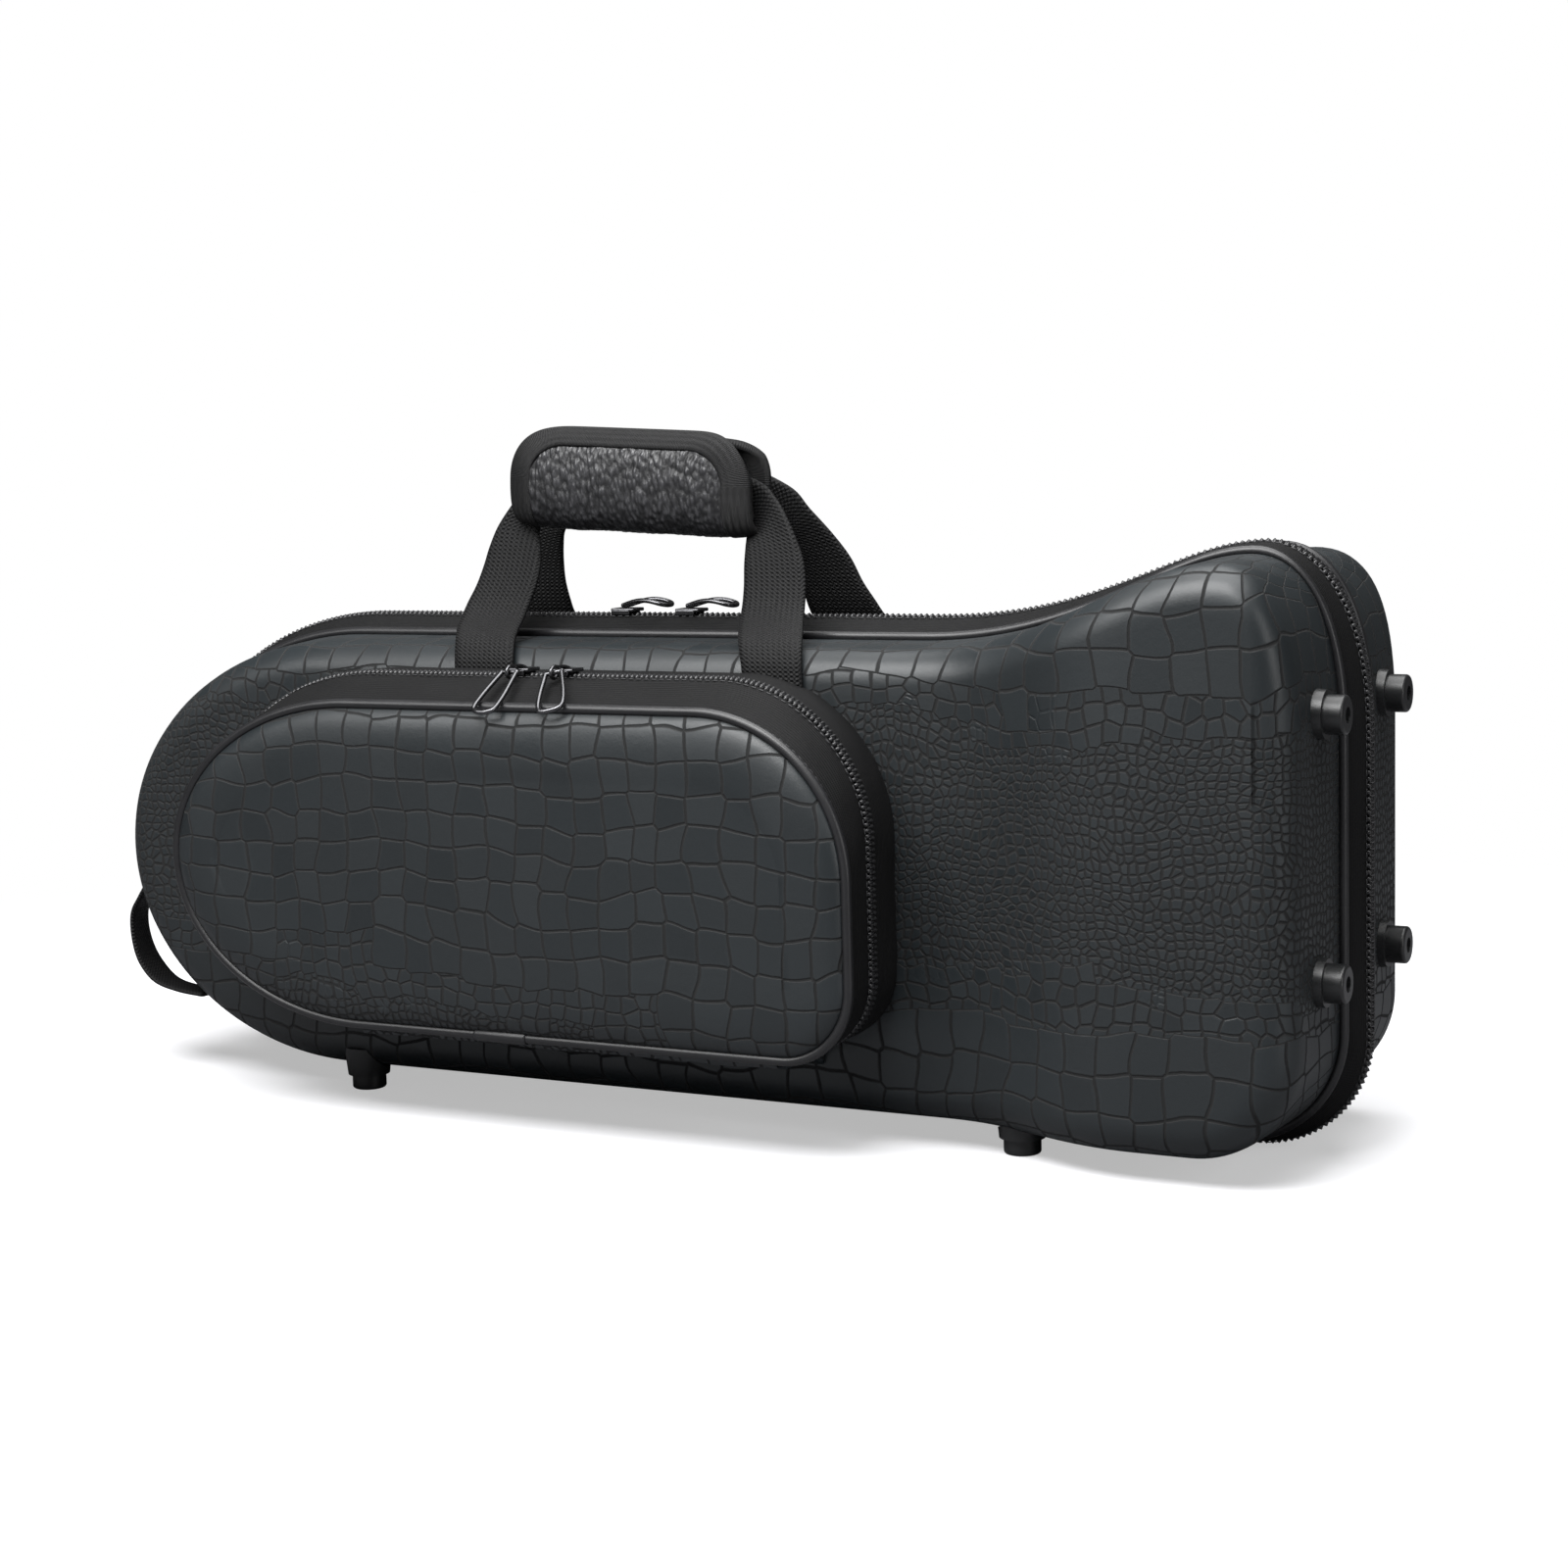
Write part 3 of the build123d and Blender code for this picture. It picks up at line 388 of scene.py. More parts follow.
finishOf = {
    "leatherette": shellLeather, "plush_foam": plushCloth, "tray_plastic": trayPlastic,
    "band_nylon": bandCloth, "zip_plastic": toothNylon, "piping_vinyl": pipingVinyl,
    "rubber": studRubber, "screw_steel": screwSteel, "webbing": webbingCloth,
    "wrap_leather": grainLeather, "black_nickel": darkMetal,
}
for entry in frame["record"]["subparts"]:
    materials = nodes[entry["node"]].data.materials
    materials.clear()
    materials.append(finishOf[entry["material_slot"]])
nodes["pocket_cover"].data.materials[0] = pocketLeather
print("finishes made")


# outlines as in the part's source, in millimetres
caseShape = {
    "noseX": -432.0, "noseReach": 115.0, "top": 195.5, "bottom": 8.5, "endWall": 1.7, "toe": 43.0,
    "shoulderZ": 163.0, "shoulderRise": 45.0, "bellX": -31.0, "bellRun": 20.0, "bellTop": 228.8,
    "bellPull": 34.0, "flareX": -165.0, "flarePull": 70.0,
    "swellTop": 7.5, "swellBell": 3.4, "swellEnd": 6.0, "swellBottom": 5.5,
    "rimDepth": 17.8, "seamDepth": 3.2, "draft": 2.0, "backDepth": 75.0, "tailDepth": 52.0,
    "stepStart": -150.0, "stepEnd": -62.0, "stepPull": 0.42, "faceRound": 14.0,
}
pocketShape = {
    "noseX": -386.5, "noseReach": 90.0, "top": 172.4, "bottom": 42.3, "right": -164.2, "lift": 11.6,
    "head": 62.0, "toe": 28.0, "zipDepth": 73.0, "faceDepth": 96.0, "crown": 6.0,
}
samples = {"nose": 40, "top": 56, "flare": 34, "bell": 20, "side": 40, "toe": 24, "bottom": 86}
caseTopCount = samples["nose"] + samples["top"] + samples["flare"] + samples["bell"]
pocketTopCount = samples["nose"] + samples["top"] + samples["flare"]


def arcPoints(centreX, centreZ, reachX, reachZ, start, sweep, count):
    made = []
    for index in range(count):
        turn = math.radians(start + sweep * index / count)
        made.append((centreX + reachX * math.cos(turn), centreZ + reachZ * math.sin(turn)))
    return made


def linePoints(first, last, count):
    return [(first[0] + (last[0] - first[0]) * i / count, first[1] + (last[1] - first[1]) * i / count)
            for i in range(count)]


def bezierPoints(corners, count):
    made = []
    for index in range(count):
        t = index / count
        weights = ((1 - t) ** 3, 3 * t * (1 - t) ** 2, 3 * t * t * (1 - t), t ** 3)
        made.append(tuple(sum(w * c[axis] for w, c in zip(weights, corners)) for axis in (0, 1)))
    return made


# closed outline from the nose's tip over the top, down the bell end and back along the bottom
def caseOutline(grow, swell=0.0, shape=caseShape):
    top = shape["top"] + grow + swell * shape["swellTop"]
    bell = shape["bellTop"] + grow + swell * shape["swellBell"]
    end = shape["endWall"] + grow + swell * shape["swellEnd"]
    bottom = shape["bottom"] - grow - swell * shape["swellBottom"]
    reach = shape["noseReach"] + grow + swell * shape["swellEnd"]
    toe = shape["toe"] + grow
    middle = (shape["top"] + shape["bottom"]) / 2
    nose, flare, peak, shoulder = shape["noseX"], shape["flareX"], shape["bellX"], shape["shoulderZ"]
    rise = ((flare, top), (flare + shape["flarePull"], top), (peak - shape["bellPull"], bell), (peak, bell))
    drop = ((peak, bell), (peak + shape["bellRun"], bell),
            (end, shoulder + shape["shoulderRise"]), (end, shoulder))
    points = arcPoints(nose, middle, reach, top - middle, 180, -90, samples["nose"])
    points += linePoints((nose, top), (flare, top), samples["top"])
    points += bezierPoints(rise, samples["flare"])
    points += bezierPoints(drop, samples["bell"])
    points += linePoints((end, shoulder), (end, bottom + toe), samples["side"])
    points += arcPoints(end - toe, bottom + toe, toe, toe, 0, -90, samples["toe"])
    points += linePoints((end - toe, bottom), (nose, bottom), samples["bottom"])
    points += arcPoints(nose, middle, reach, middle - bottom, 270, -90, samples["nose"])
    return points


# the pocket's outline, in the same order
def pocketOutline(grow, lift=0.0, shape=pocketShape):
    top = shape["top"] + grow + lift * shape["lift"]
    bottom = shape["bottom"] - grow
    right = shape["right"] + grow
    reach = shape["noseReach"] + grow
    head, toe = shape["head"] + grow, shape["toe"] + grow
    middle = (shape["top"] + shape["bottom"]) / 2
    nose = shape["noseX"]
    points = arcPoints(nose, middle, reach, top - middle, 180, -90, samples["nose"])
    points += linePoints((nose, top), (right - head, top), samples["top"])
    points += arcPoints(right - head, top - head, head, head, 90, -90, samples["flare"])
    points += linePoints((right, top - head), (right, bottom + toe), samples["side"])
    points += arcPoints(right - toe, bottom + toe, toe, toe, 0, -90, samples["toe"])
    points += linePoints((right - toe, bottom), (nose, bottom),
                         samples["top"] + samples["flare"] - samples["toe"])
    points += arcPoints(nose, middle, reach, middle - bottom, 270, -90, samples["nose"])
    return points


# unit normals of a closed outline, pointing out
def outwards(points):
    made = []
    for index in range(len(points)):
        before, after = points[index - 1], points[(index + 1) % len(points)]
        dx, dz = after[0] - before[0], after[1] - before[1]
        length = math.hypot(dx, dz) or 1.0
        made.append((-dz / length, dx / length))
    return made


def arcLengths(points):
    made = [0.0]
    for first, last in zip(points, points[1:] + points[:1]):
        made.append(made[-1] + math.hypot(last[0] - first[0], last[1] - first[1]))
    return made


# places at an even pitch along a closed outline, as (x, z, tangent x, tangent z)
def evenSteps(points, pitch, offset=0.0):
    lengths = arcLengths(points)
    count = round(lengths[-1] / pitch)
    pitch = lengths[-1] / count
    made, index = [], 0
    for step in range(count):
        at = (step + offset) * pitch
        while lengths[index + 1] < at:
            index += 1
        share = (at - lengths[index]) / max(1e-9, lengths[index + 1] - lengths[index])
        first, last = points[index], points[(index + 1) % len(points)]
        dx, dz = last[0] - first[0], last[1] - first[1]
        length = math.hypot(dx, dz) or 1.0
        made.append((first[0] + dx * share, first[1] + dz * share, dx / length, dz / length))
    return made


def softNoise(x, y, z, size=1.0):
    return noise.noise(Vector((x / size, y / size, z / size)))


# takes the name of the mesh for the piece
def makePiece(mesh, finish, body, slotName, *replaced):
    made = bpy.data.objects.new(mesh.name, mesh)
    bpy.context.scene.collection.objects.link(made)
    mesh.materials.append(finish)
    mesh.shade_smooth()
    if body:
        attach(made, body)
    if replaced:
        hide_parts(*replaced)
    return made


# points in case millimetres, and the UV corners of the first faces in millimetres of skin
def finishMesh(name, points, faces, uvs=()):
    mesh = bpy.data.meshes.new(name)
    mesh.from_pydata([place(*point) for point in points], [], faces)
    if uvs:
        layer = mesh.uv_layers.new(name="skin")
        for polygon, corners in zip(mesh.polygons, uvs):
            for loop, corner in zip(polygon.loop_indices, corners):
                layer.data[loop].uv = corner
    mesh.update()
    work = bmesh.new()
    work.from_mesh(mesh)
    bmesh.ops.recalc_face_normals(work, faces=work.faces)
    work.to_mesh(mesh)
    work.free()
    return mesh


# corners (row, column) of each face between rows of points that close on themselves
def ringCells(rowCount, width, looped=False):
    return [((r, c), (r, c + 1), (r + 1, c + 1), (r + 1, c))
            for r in range(rowCount if looped else rowCount - 1) for c in range(width)]


def ringFaces(start, rowCount, width, looped=False, capped=False):
    faces = [[start + r % rowCount * width + c % width for r, c in cell]
             for cell in ringCells(rowCount, width, looped)]
    if capped:
        faces.append([start + c for c in range(width)][::-1])
        faces.append([start + (rowCount - 1) * width + c for c in range(width)])
    return faces


# one skin through closed rows of points. uvOf(row, column) gives millimetres too.
def ringMesh(name, rows, uvOf=None, looped=False, capped=False):
    size = (len(rows), len(rows[0]))
    points = [point for row in rows for point in row]
    uvs = [[uvOf(r, c) for r, c in cell] for cell in ringCells(*size, looped)] if uvOf else ()
    return finishMesh(name, points, ringFaces(0, *size, looped, capped), uvs)


# rings of one small rounded piece: long, wide and high are its ways with their sizes in them,
# and each row of the shape is (share of long, share of wide, share of high)
def beadRings(middle, long, wide, high, shape, sides, start=0.0):
    return [[middle + long * at + wide * (math.cos(turn) * a) + high * (math.sin(turn) * b)
             for turn in turnsOf(sides, start)] for at, a, b in shape]


# many such pieces in one mesh
def beadMesh(name, beads):
    points, faces = [], []
    for rings in beads:
        faces += ringFaces(len(points), len(rings), len(rings[0]), capped=True)
        points += [point for ring in rings for point in ring]
    return finishMesh(name, points, faces)


# walls from closed rows, and a face that fills the last row. The rows start at the nose's tip.
def skinMesh(name, rows, topCount, facePoint, uvOf):
    count, sideCount = len(rows[0]), samples["side"]
    points = [point for row in rows for point in row]
    uvs = [uvOf(r, c) for r in range(len(rows)) for c in range(count)]
    faces = ringFaces(0, len(rows), count)
    base = (len(rows) - 1) * count
    edge = rows[-1]
    lines = []
    for j in range(1, topCount):
        top, bottom = edge[j], edge[count - j]
        line = [base + j]
        for k in range(1, sideCount):
            t = k / sideCount
            x, z = top[0] + (bottom[0] - top[0]) * t, top[2] + (bottom[2] - top[2]) * t
            points.append((x, facePoint(x, z), z))
            uvs.append((x, z))
            line.append(len(points) - 1)
        lines.append(line + [base + count - j])
    lines.append([base + topCount + k for k in range(sideCount + 1)])
    faces += [(base, lines[0][k], lines[0][k + 1]) for k in range(sideCount)]
    for first, last in zip(lines, lines[1:]):
        faces += [(first[k], last[k], last[k + 1], first[k + 1]) for k in range(sideCount)]
    return finishMesh(name, points, faces, [[uvs[index] for index in face] for face in faces])


# UV of each row: the last row's place, pushed out along its normal by the length back to the row
def unfolded(rows):
    last = rows[-1]
    normals = outwards([(x, z) for x, y, z in last])
    lengths = [[0.0] * len(last) for row in rows]
    for r in range(len(rows) - 2, -1, -1):
        for c in range(len(last)):
            lengths[r][c] = lengths[r + 1][c] + math.dist(rows[r][c], rows[r + 1][c])
    return lambda r, c: (last[c][0] + normals[c][0] * lengths[r][c],
                         last[c][2] + normals[c][1] * lengths[r][c])


def sectionUv(rows):
    lengths = arcLengths([(x, z) for x, y, z in rows[0]])
    widths = [0.0]
    for first, last in zip(rows, rows[1:] + rows[:1]):
        widths.append(widths[-1] + math.dist(first[0], last[0]))
    return lambda r, c: (lengths[c], widths[r])


shellSkin = {
    "wallRows": 9,
    "roundRows": 8,
    "wallHigh": 40.0,   # mm of wall that the draft runs over
    "lip": 2.6,         # mm that the rim turns in, and how deep it goes
    "lipDepth": 30.0,
    "rimGap": 0.1,      # mm from the piping's seam to the rim
}


# how deep a half is at x: the back is flat, the front steps out towards the bell
def stepDepth(side, x, shape=caseShape):
    if side > 0:
        return shape["backDepth"]
    start, end = shape["stepStart"], shape["stepEnd"]
    if x <= start:
        return shape["tailDepth"]
    if x >= end:
        return shape["backDepth"]
    bend = (end - start) * shape["stepPull"]
    low, high = 0.0, 1.0
    for _ in range(24):
        t = (low + high) / 2
        reached = 3 * t * (1 - t) ** 2 * (start + bend) + 3 * t * t * (1 - t) * (end - bend)
        reached += (1 - t) ** 3 * start + t ** 3 * end
        low, high = (t, high) if reached < x else (low, t)
    rise = t * t * (3 - 2 * t)
    return shape["tailDepth"] + rise * (shape["backDepth"] - shape["tailDepth"])


def shellRows(side, look=shellSkin, shape=caseShape):
    rim, around = shape["rimDepth"] + look["rimGap"], shape["faceRound"]
    draft = shape["draft"] / (shape["backDepth"] - shape["rimDepth"]) * look["wallHigh"]
    rows = []
    for depth, inset in ((look["lipDepth"], look["lip"]), (rim, look["lip"]), (rim, 0.0)):
        rows.append([(x, side * depth, z) for x, z in caseOutline(-inset)])
    for step in range(1, look["wallRows"] + 1):
        share = step / look["wallRows"]
        rows.append([(x, side * (rim + (stepDepth(side, x) - around - rim) * share), z)
                     for x, z in caseOutline(-draft * share)])
    for step in range(1, look["roundRows"] + 1):
        turn = math.pi / 2 * step / look["roundRows"]
        rows.append([(x, side * (stepDepth(side, x) - around * (1 - math.sin(turn))), z)
                     for x, z in caseOutline(-draft - around * (1 - math.cos(turn)))])
    return rows


def makeShells():
    for side, word, body in halves:
        rows = shellRows(side)
        mesh = skinMesh(word + "Skin", rows, caseTopCount, lambda x, z: side * stepDepth(side, x),
                        unfolded(rows))
        makePiece(mesh, shellLeather, body, "leatherette", word + "_shell")


bandLook = {
    "puff": 0.9,          # mm that the cloth stands out between its seams
    "puffPower": 0.8,
    "basePuff": 0.5,
    "foot": 0.25,         # mm of puff right beside the zip's seam, and beside the piping's
    "farFoot": 0.15,
    "seam": 0.3,
    "tape": 0.25,         # mm from the teeth's line to the edge of the tape
    "tapeSink": 0.5,
    "tuck": 1.7,          # mm that the cloth runs under the piping, and down there
    "tuckSink": 0.2,
    "cordSeat": 2.0,
    "wrinkle": 0.35,
    "wrinkleSize": 14.0,
    "wrinkleFrom": 0.2,   # mm of puff above which the cloth wrinkles
    "baseOver": 3.0,      # mm that the pocket's fixed band runs into the lid
    "wall": 2.0,
    "steps": 12,
}


# section of a band as (depth, growth): over its outer face and back along its inner one
def bandProfile(far, puff, look=bandLook):
    near = caseShape["seamDepth"]
    seam, foot, tape, wall = (look[key] for key in ("seam", "foot", "tape", "wall"))
    section = [(tape, -look["tapeSink"]), (near - seam, -look["tapeSink"]), (near + seam, foot)]
    for step in range(1, look["steps"]):
        t = step / look["steps"]
        swell = puff * math.sin(math.pi * t) ** look["puffPower"]
        section.append((near + seam + (far - near - 2 * seam) * t, foot + swell))
    section += [(far - seam, look["farFoot"]), (far + look["tuck"], -look["tuckSink"])]
    return section + [(far + look["tuck"], -wall), ((far + near) / 2, -wall), (tape, -wall)]


def makeBand(name, outline, swellAt, side, origin, profile, body, replaced, look=bandLook):
    rows = []
    for depth, growth in profile:
        points = outline(growth, swellAt(depth))
        row = []
        for (x, z), (nx, nz) in zip(points, outwards(points)):
            rub = look["wrinkle"] * softNoise(x, depth * 3, z, look["wrinkleSize"])
            rub = rub if growth > look["wrinkleFrom"] else 0.0
            row.append((x + nx * rub, side * (origin + depth), z + nz * rub))
        rows.append(row)
    makePiece(ringMesh(name, rows, sectionUv(rows), looped=True), bandCloth, body, "band_nylon", replaced)


caseBandFar = caseShape["rimDepth"] - bandLook["cordSeat"]
pocketBandFar = pocketShape["faceDepth"] - pocketShape["zipDepth"] - bandLook["cordSeat"]


# the outlines swell from nothing at the piping to full at the zip
def caseSwell(depth):
    return clamp((caseBandFar - depth) / (caseBandFar - caseShape["seamDepth"]))


def pocketSwell(depth):
    return clamp(1 - (depth - caseShape["seamDepth"]) / (pocketBandFar - caseShape["seamDepth"]))


def makeBands(look=bandLook):
    profile = bandProfile(caseBandFar, look["puff"])
    for side, word, body in halves:
        makeBand(word + "BandCloth", caseOutline, caseSwell, side, 0.0, profile, body, word + "_band")
    zipDepth = pocketShape["zipDepth"]
    profile = bandProfile(pocketBandFar, look["puff"])
    makeBand("pocketCoverCloth", pocketOutline, pocketSwell, -1, zipDepth, profile, "pocket_cover_body",
             "pocket_cover_band")
    profile = bandProfile(zipDepth - caseShape["tailDepth"] + look["baseOver"], look["basePuff"])
    profile = [(zipDepth - depth, growth) for depth, growth in profile]
    makeBand("pocketBaseCloth", pocketOutline, lambda depth: 1.0, -1, 0.0, profile, "lid", "pocket_base_band")


# one coil tooth, its head in the middle. "gap" is the highest z and the first and last x of the
# fabric hinge, where no teeth are.
toothLook = {
    "reach": 1.0,       # mm over the middle of the zip
    "root": 0.2,        # mm of its root short of the seam
    "wide": 0.80,
    "high": 1.35,
    "sink": 0.15,
    "sides": 6,
    "shape": ((1.0, 0.8, 0.7), (0.82, 1.2, 1.15), (0.6, 1.2, 1.15), (0.38, 0.85, 0.8), (0.15, 0.9, 0.85),
              (0.0, 0.7, 0.6)),
    "case": {"pitch": 2.5, "gap": (20, -395, -85)},
    "pocket": {"pitch": 2.2, "gap": (60, -388, -196)},
}


def makeToothRow(name, crest, side, centre, zipLook, offset, body, replaced, look=toothLook):
    gapTop, gapLeft, gapRight = zipLook["gap"]
    long = Vector((0, side * (caseShape["seamDepth"] - look["root"] + look["reach"]), 0))
    teeth = []
    for x, z, tx, tz in evenSteps(crest, zipLook["pitch"], offset):
        if z < gapTop and gapLeft < x < gapRight:
            continue
        along, out = Vector((tx, 0, tz)), Vector((-tz, 0, tx))
        middle = Vector((x, centre - side * look["reach"], z)) - out * look["sink"]
        teeth.append(beadRings(middle, long, along * look["wide"], out * look["high"], look["shape"],
                               look["sides"], 0.5))
    makePiece(beadMesh(name, teeth), toothNylon, body, "zip_plastic", replaced)


def makeTeeth(look=toothLook):
    crest = caseOutline(0.0, 1.0)
    for (side, word, body), offset in zip(halves, (0.0, 0.5)):
        makeToothRow(word + "Teeth", crest, side, 0.0, look["case"], offset, body, word + "_zip")
    crest = pocketOutline(0.0, 1.0)
    for side, word, body, offset in ((-1, "cover", "pocket_cover_body", 0.0), (1, "base", "lid", 0.5)):
        makeToothRow("pocket" + word.title() + "Teeth", crest, side, -pocketShape["zipDepth"],
                     look["pocket"], offset, body, "pocket_" + word + "_zip")


# one short rounded stitch, and the (depth, growth) of each row of them on a band
stitchLook = {
    "pitch": 3.4,
    "length": 2.4,
    "wide": 0.3,
    "high": 0.22,
    "stand": 0.05,
    "sides": 6,
    "shape": ((-0.5, 0.25, 0.25), (-0.32, 1.0, 1.0), (0.32, 1.0, 1.0), (0.5, 0.25, 0.25)),
    "caseRows": ((4.9, 0.95), (14.3, 0.75)),
    "pocketRows": ((4.9, 0.85), (19.4, 0.75)),
}


# each line is (closed outline, its depth y)
def makeStitches(name, lines, body, look=stitchLook):
    stitches = []
    for outline, y in lines:
        for x, z, tx, tz in evenSteps(outline, look["pitch"]):
            along, out = Vector((tx, 0, tz)), Vector((-tz, 0, tx))
            middle = Vector((x, y, z)) + out * look["stand"]
            stitches.append(beadRings(middle, along * look["length"], along.cross(out) * look["wide"],
                                      out * look["high"], look["shape"], look["sides"]))
    makePiece(beadMesh(name, stitches), stitchThread, body, "band_nylon")


def makeStitching(look=stitchLook):
    for side, word, body in halves:
        lines = [(caseOutline(growth, caseSwell(depth)), side * depth) for depth, growth in look["caseRows"]]
        makeStitches(word + "BandStitches", lines, body)
    lines = [(pocketOutline(growth, pocketSwell(depth)), -pocketShape["zipDepth"] - depth)
             for depth, growth in look["pocketRows"]]
    makeStitches("pocketStitches", lines, "pocket_cover_body")


# sleeveSteps go along the short tube where the ends of the pocket's piping meet:
# (share of its length, mm over the cord)
pipingLook = {
    "radius": 2.05,
    "stand": 1.0,
    "sides": 12,
    "wobble": 0.12,
    "wobbleSize": 30.0,
    "sleeveSteps": ((0.0, 0.02), (0.0, 0.5), (0.03, 0.62), (0.5, 0.72), (0.97, 0.62), (1.0, 0.5),
                    (1.0, 0.02)),
}


def makeCord(name, outline, side, depth, body, replaced, look=pipingLook):
    rows = []
    for turn in turnsOf(look["sides"]):
        y = side * (depth + look["radius"] * math.sin(turn))
        rows.append([(x, y + look["wobble"] * softNoise(x, 0, z, look["wobbleSize"]), z)
                     for x, z in outline(look["stand"] + look["radius"] * math.cos(turn))])
    makePiece(ringMesh(name, rows, sectionUv(rows), looped=True), pipingVinyl, body, "piping_vinyl", replaced)


def makePiping(look=pipingLook):
    first, last = (toCase(corner).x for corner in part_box("piping_sleeve"))
    rows = []
    for share, extra in look["sleeveSteps"]:
        radius = look["radius"] + extra
        rows.append([(first + (last - first) * share, -pocketShape["faceDepth"] - radius * math.sin(turn),
                      pocketShape["bottom"] - look["stand"] - radius * math.cos(turn))
                     for turn in turnsOf(look["sides"] * 2)])
    mesh = ringMesh("cordSleeve", rows, lambda r, c: (r * 2.0, c * 0.6))
    makePiece(mesh, pipingVinyl, "pocket_cover_body", "piping_vinyl", "piping_sleeve")
    for side, word, body in halves:
        makeCord(word + "Cord", caseOutline, side, caseShape["rimDepth"], body, word + "_piping")
    makeCord("pocketCord", pocketOutline, -1, pocketShape["faceDepth"], "pocket_cover_body", "pocket_piping")


# the pocket's padded panel: how far each row is in from the edge, in millimetres, after the two
# rows behind the piping, which also say how far back they are
panelLook = {
    "tucks": ((2.2, 4.0), (0.3, 1.8)),
    "insets": (0.0, 0.6, 1.4, 2.4, 4.0, 6.0, 8.5, 12.0, 16.0, 20.0, 24.0),
    "edgeShare": 0.45,      # share of the crown that comes right at the piping
    "edgeSize": 1.8,
    "sag": 0.5,
    "sagSize": 90.0,
}


def crownShare(inset, look=panelLook):
    full = look["insets"][-1]
    slow = 1 - (1 - min(inset, full) / full) ** 3
    return (1 - look["edgeShare"]) * slow + look["edgeShare"] * (1 - math.exp(-inset / look["edgeSize"]))


def makePocketPanel(look=panelLook):
    face, crown = pocketShape["faceDepth"], pocketShape["crown"]
    levels = [(inset, face - back) for inset, back in look["tucks"]]
    levels += [(inset, face + crown * crownShare(inset)) for inset in look["insets"]]
    rows = [[(x, -depth, z) for x, z in pocketOutline(-inset)] for inset, depth in levels]

    def facePoint(x, z):
        return -face - crown - look["sag"] * softNoise(x, 3.0, z, look["sagSize"])

    mesh = skinMesh("pocketPanel", rows, pocketTopCount, facePoint, unfolded(rows))
    panel = makePiece(mesh, pocketLeather, "pocket_cover_body", "leatherette", "pocket_cover")


# fabric hinges: the pocket's strip follows (y, z) from the cover down to the lid's wall
stripLook = {
    "left": -388.0, "right": -196.0, "steps": 64, "wall": 1.3,
    "rub": 0.5, "rubSize": 16.0, "ragged": 0.6, "raggedSize": 11.0,
    "profile": ((-94.6, 40.6), (-92.4, 37.6), (-86.0, 36.2), (-77.0, 35.6), (-68.0, 35.6), (-60.5, 35.8),
                (-56.3, 35.0), (-54.0, 33.2), (-53.2, 31.0)),
}
leafLook = {
    "left": -395.0, "right": -85.0, "steps": 80, "wall": 1.1, "low": 5.15, "slope": 0.3,
    "depths": (-13, -9, -5, -2, 0, 2, 5, 9, 13),
}


def stationsOf(look):
    span = look["right"] - look["left"]
    return [look["left"] + span * step / look["steps"] for step in range(look["steps"] + 1)]


def makePocketHinge(look=stripLook):
    rows = []
    for x in stationsOf(look):
        outer, inner = [], []
        for index, (y, z) in enumerate(look["profile"]):
            rub = look["rub"] * softNoise(x, y, z, look["rubSize"])
            if index == len(look["profile"]) - 1:
                z += look["ragged"] * softNoise(x, 9.0, 0.0, look["raggedSize"])
            outer.append((x, y - rub * 0.4, z - rub - look["wall"] / 2))
            inner.append((x, y + (look["wall"] if index > 5 else 0), z + look["wall"] / 2))
        rows.append(outer + inner[::-1])
    lengths = [0.0]
    for a, b in zip(rows[0], rows[0][1:]):
        lengths.append(lengths[-1] + math.dist(a, b))
    lengths.append(lengths[-1] + 1)
    mesh = ringMesh("pocketHingeCloth", rows, lambda r, c: (rows[r][0][0], lengths[c]), capped=True)
    strip = makePiece(mesh, pocketLeather, None, "leatherette", "pocket_hinge_strip")
    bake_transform(strip)


def makeBottomHinge(look=leafLook):
    rows = []
    for x in stationsOf(look):
        outer = [(x, y, look["low"] + abs(y) * look["slope"]) for y in look["depths"]]
        rows.append(outer + [(x, y, z + look["wall"]) for x, y, z in outer[::-1]])
    mesh = ringMesh("bottomHingeCloth", rows, lambda r, c: (rows[r][0][0], c * 3.0), capped=True)
    strip = makePiece(mesh, bandCloth, None, "band_nylon", "back_hinge_leaf", "front_hinge_leaf")
    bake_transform(strip)


# Catmull-Rom curve through tuples of numbers
def smoothThrough(spots, steps):
    made = []
    for index in range(len(spots) - 1):
        before, after = spots[max(index - 1, 0)], spots[min(index + 2, len(spots) - 1)]
        for step in range(steps):
            t = step / steps
            made.append(tuple(0.5 * (2 * b + (c - a) * t + (2 * a - 5 * b + 4 * c - d) * t * t
                                     + (3 * b - a - 3 * c + d) * t ** 3)
                              for a, b, c, d in zip(before, spots[index], spots[index + 1], after)))
    made.append(tuple(spots[-1]))
    return made


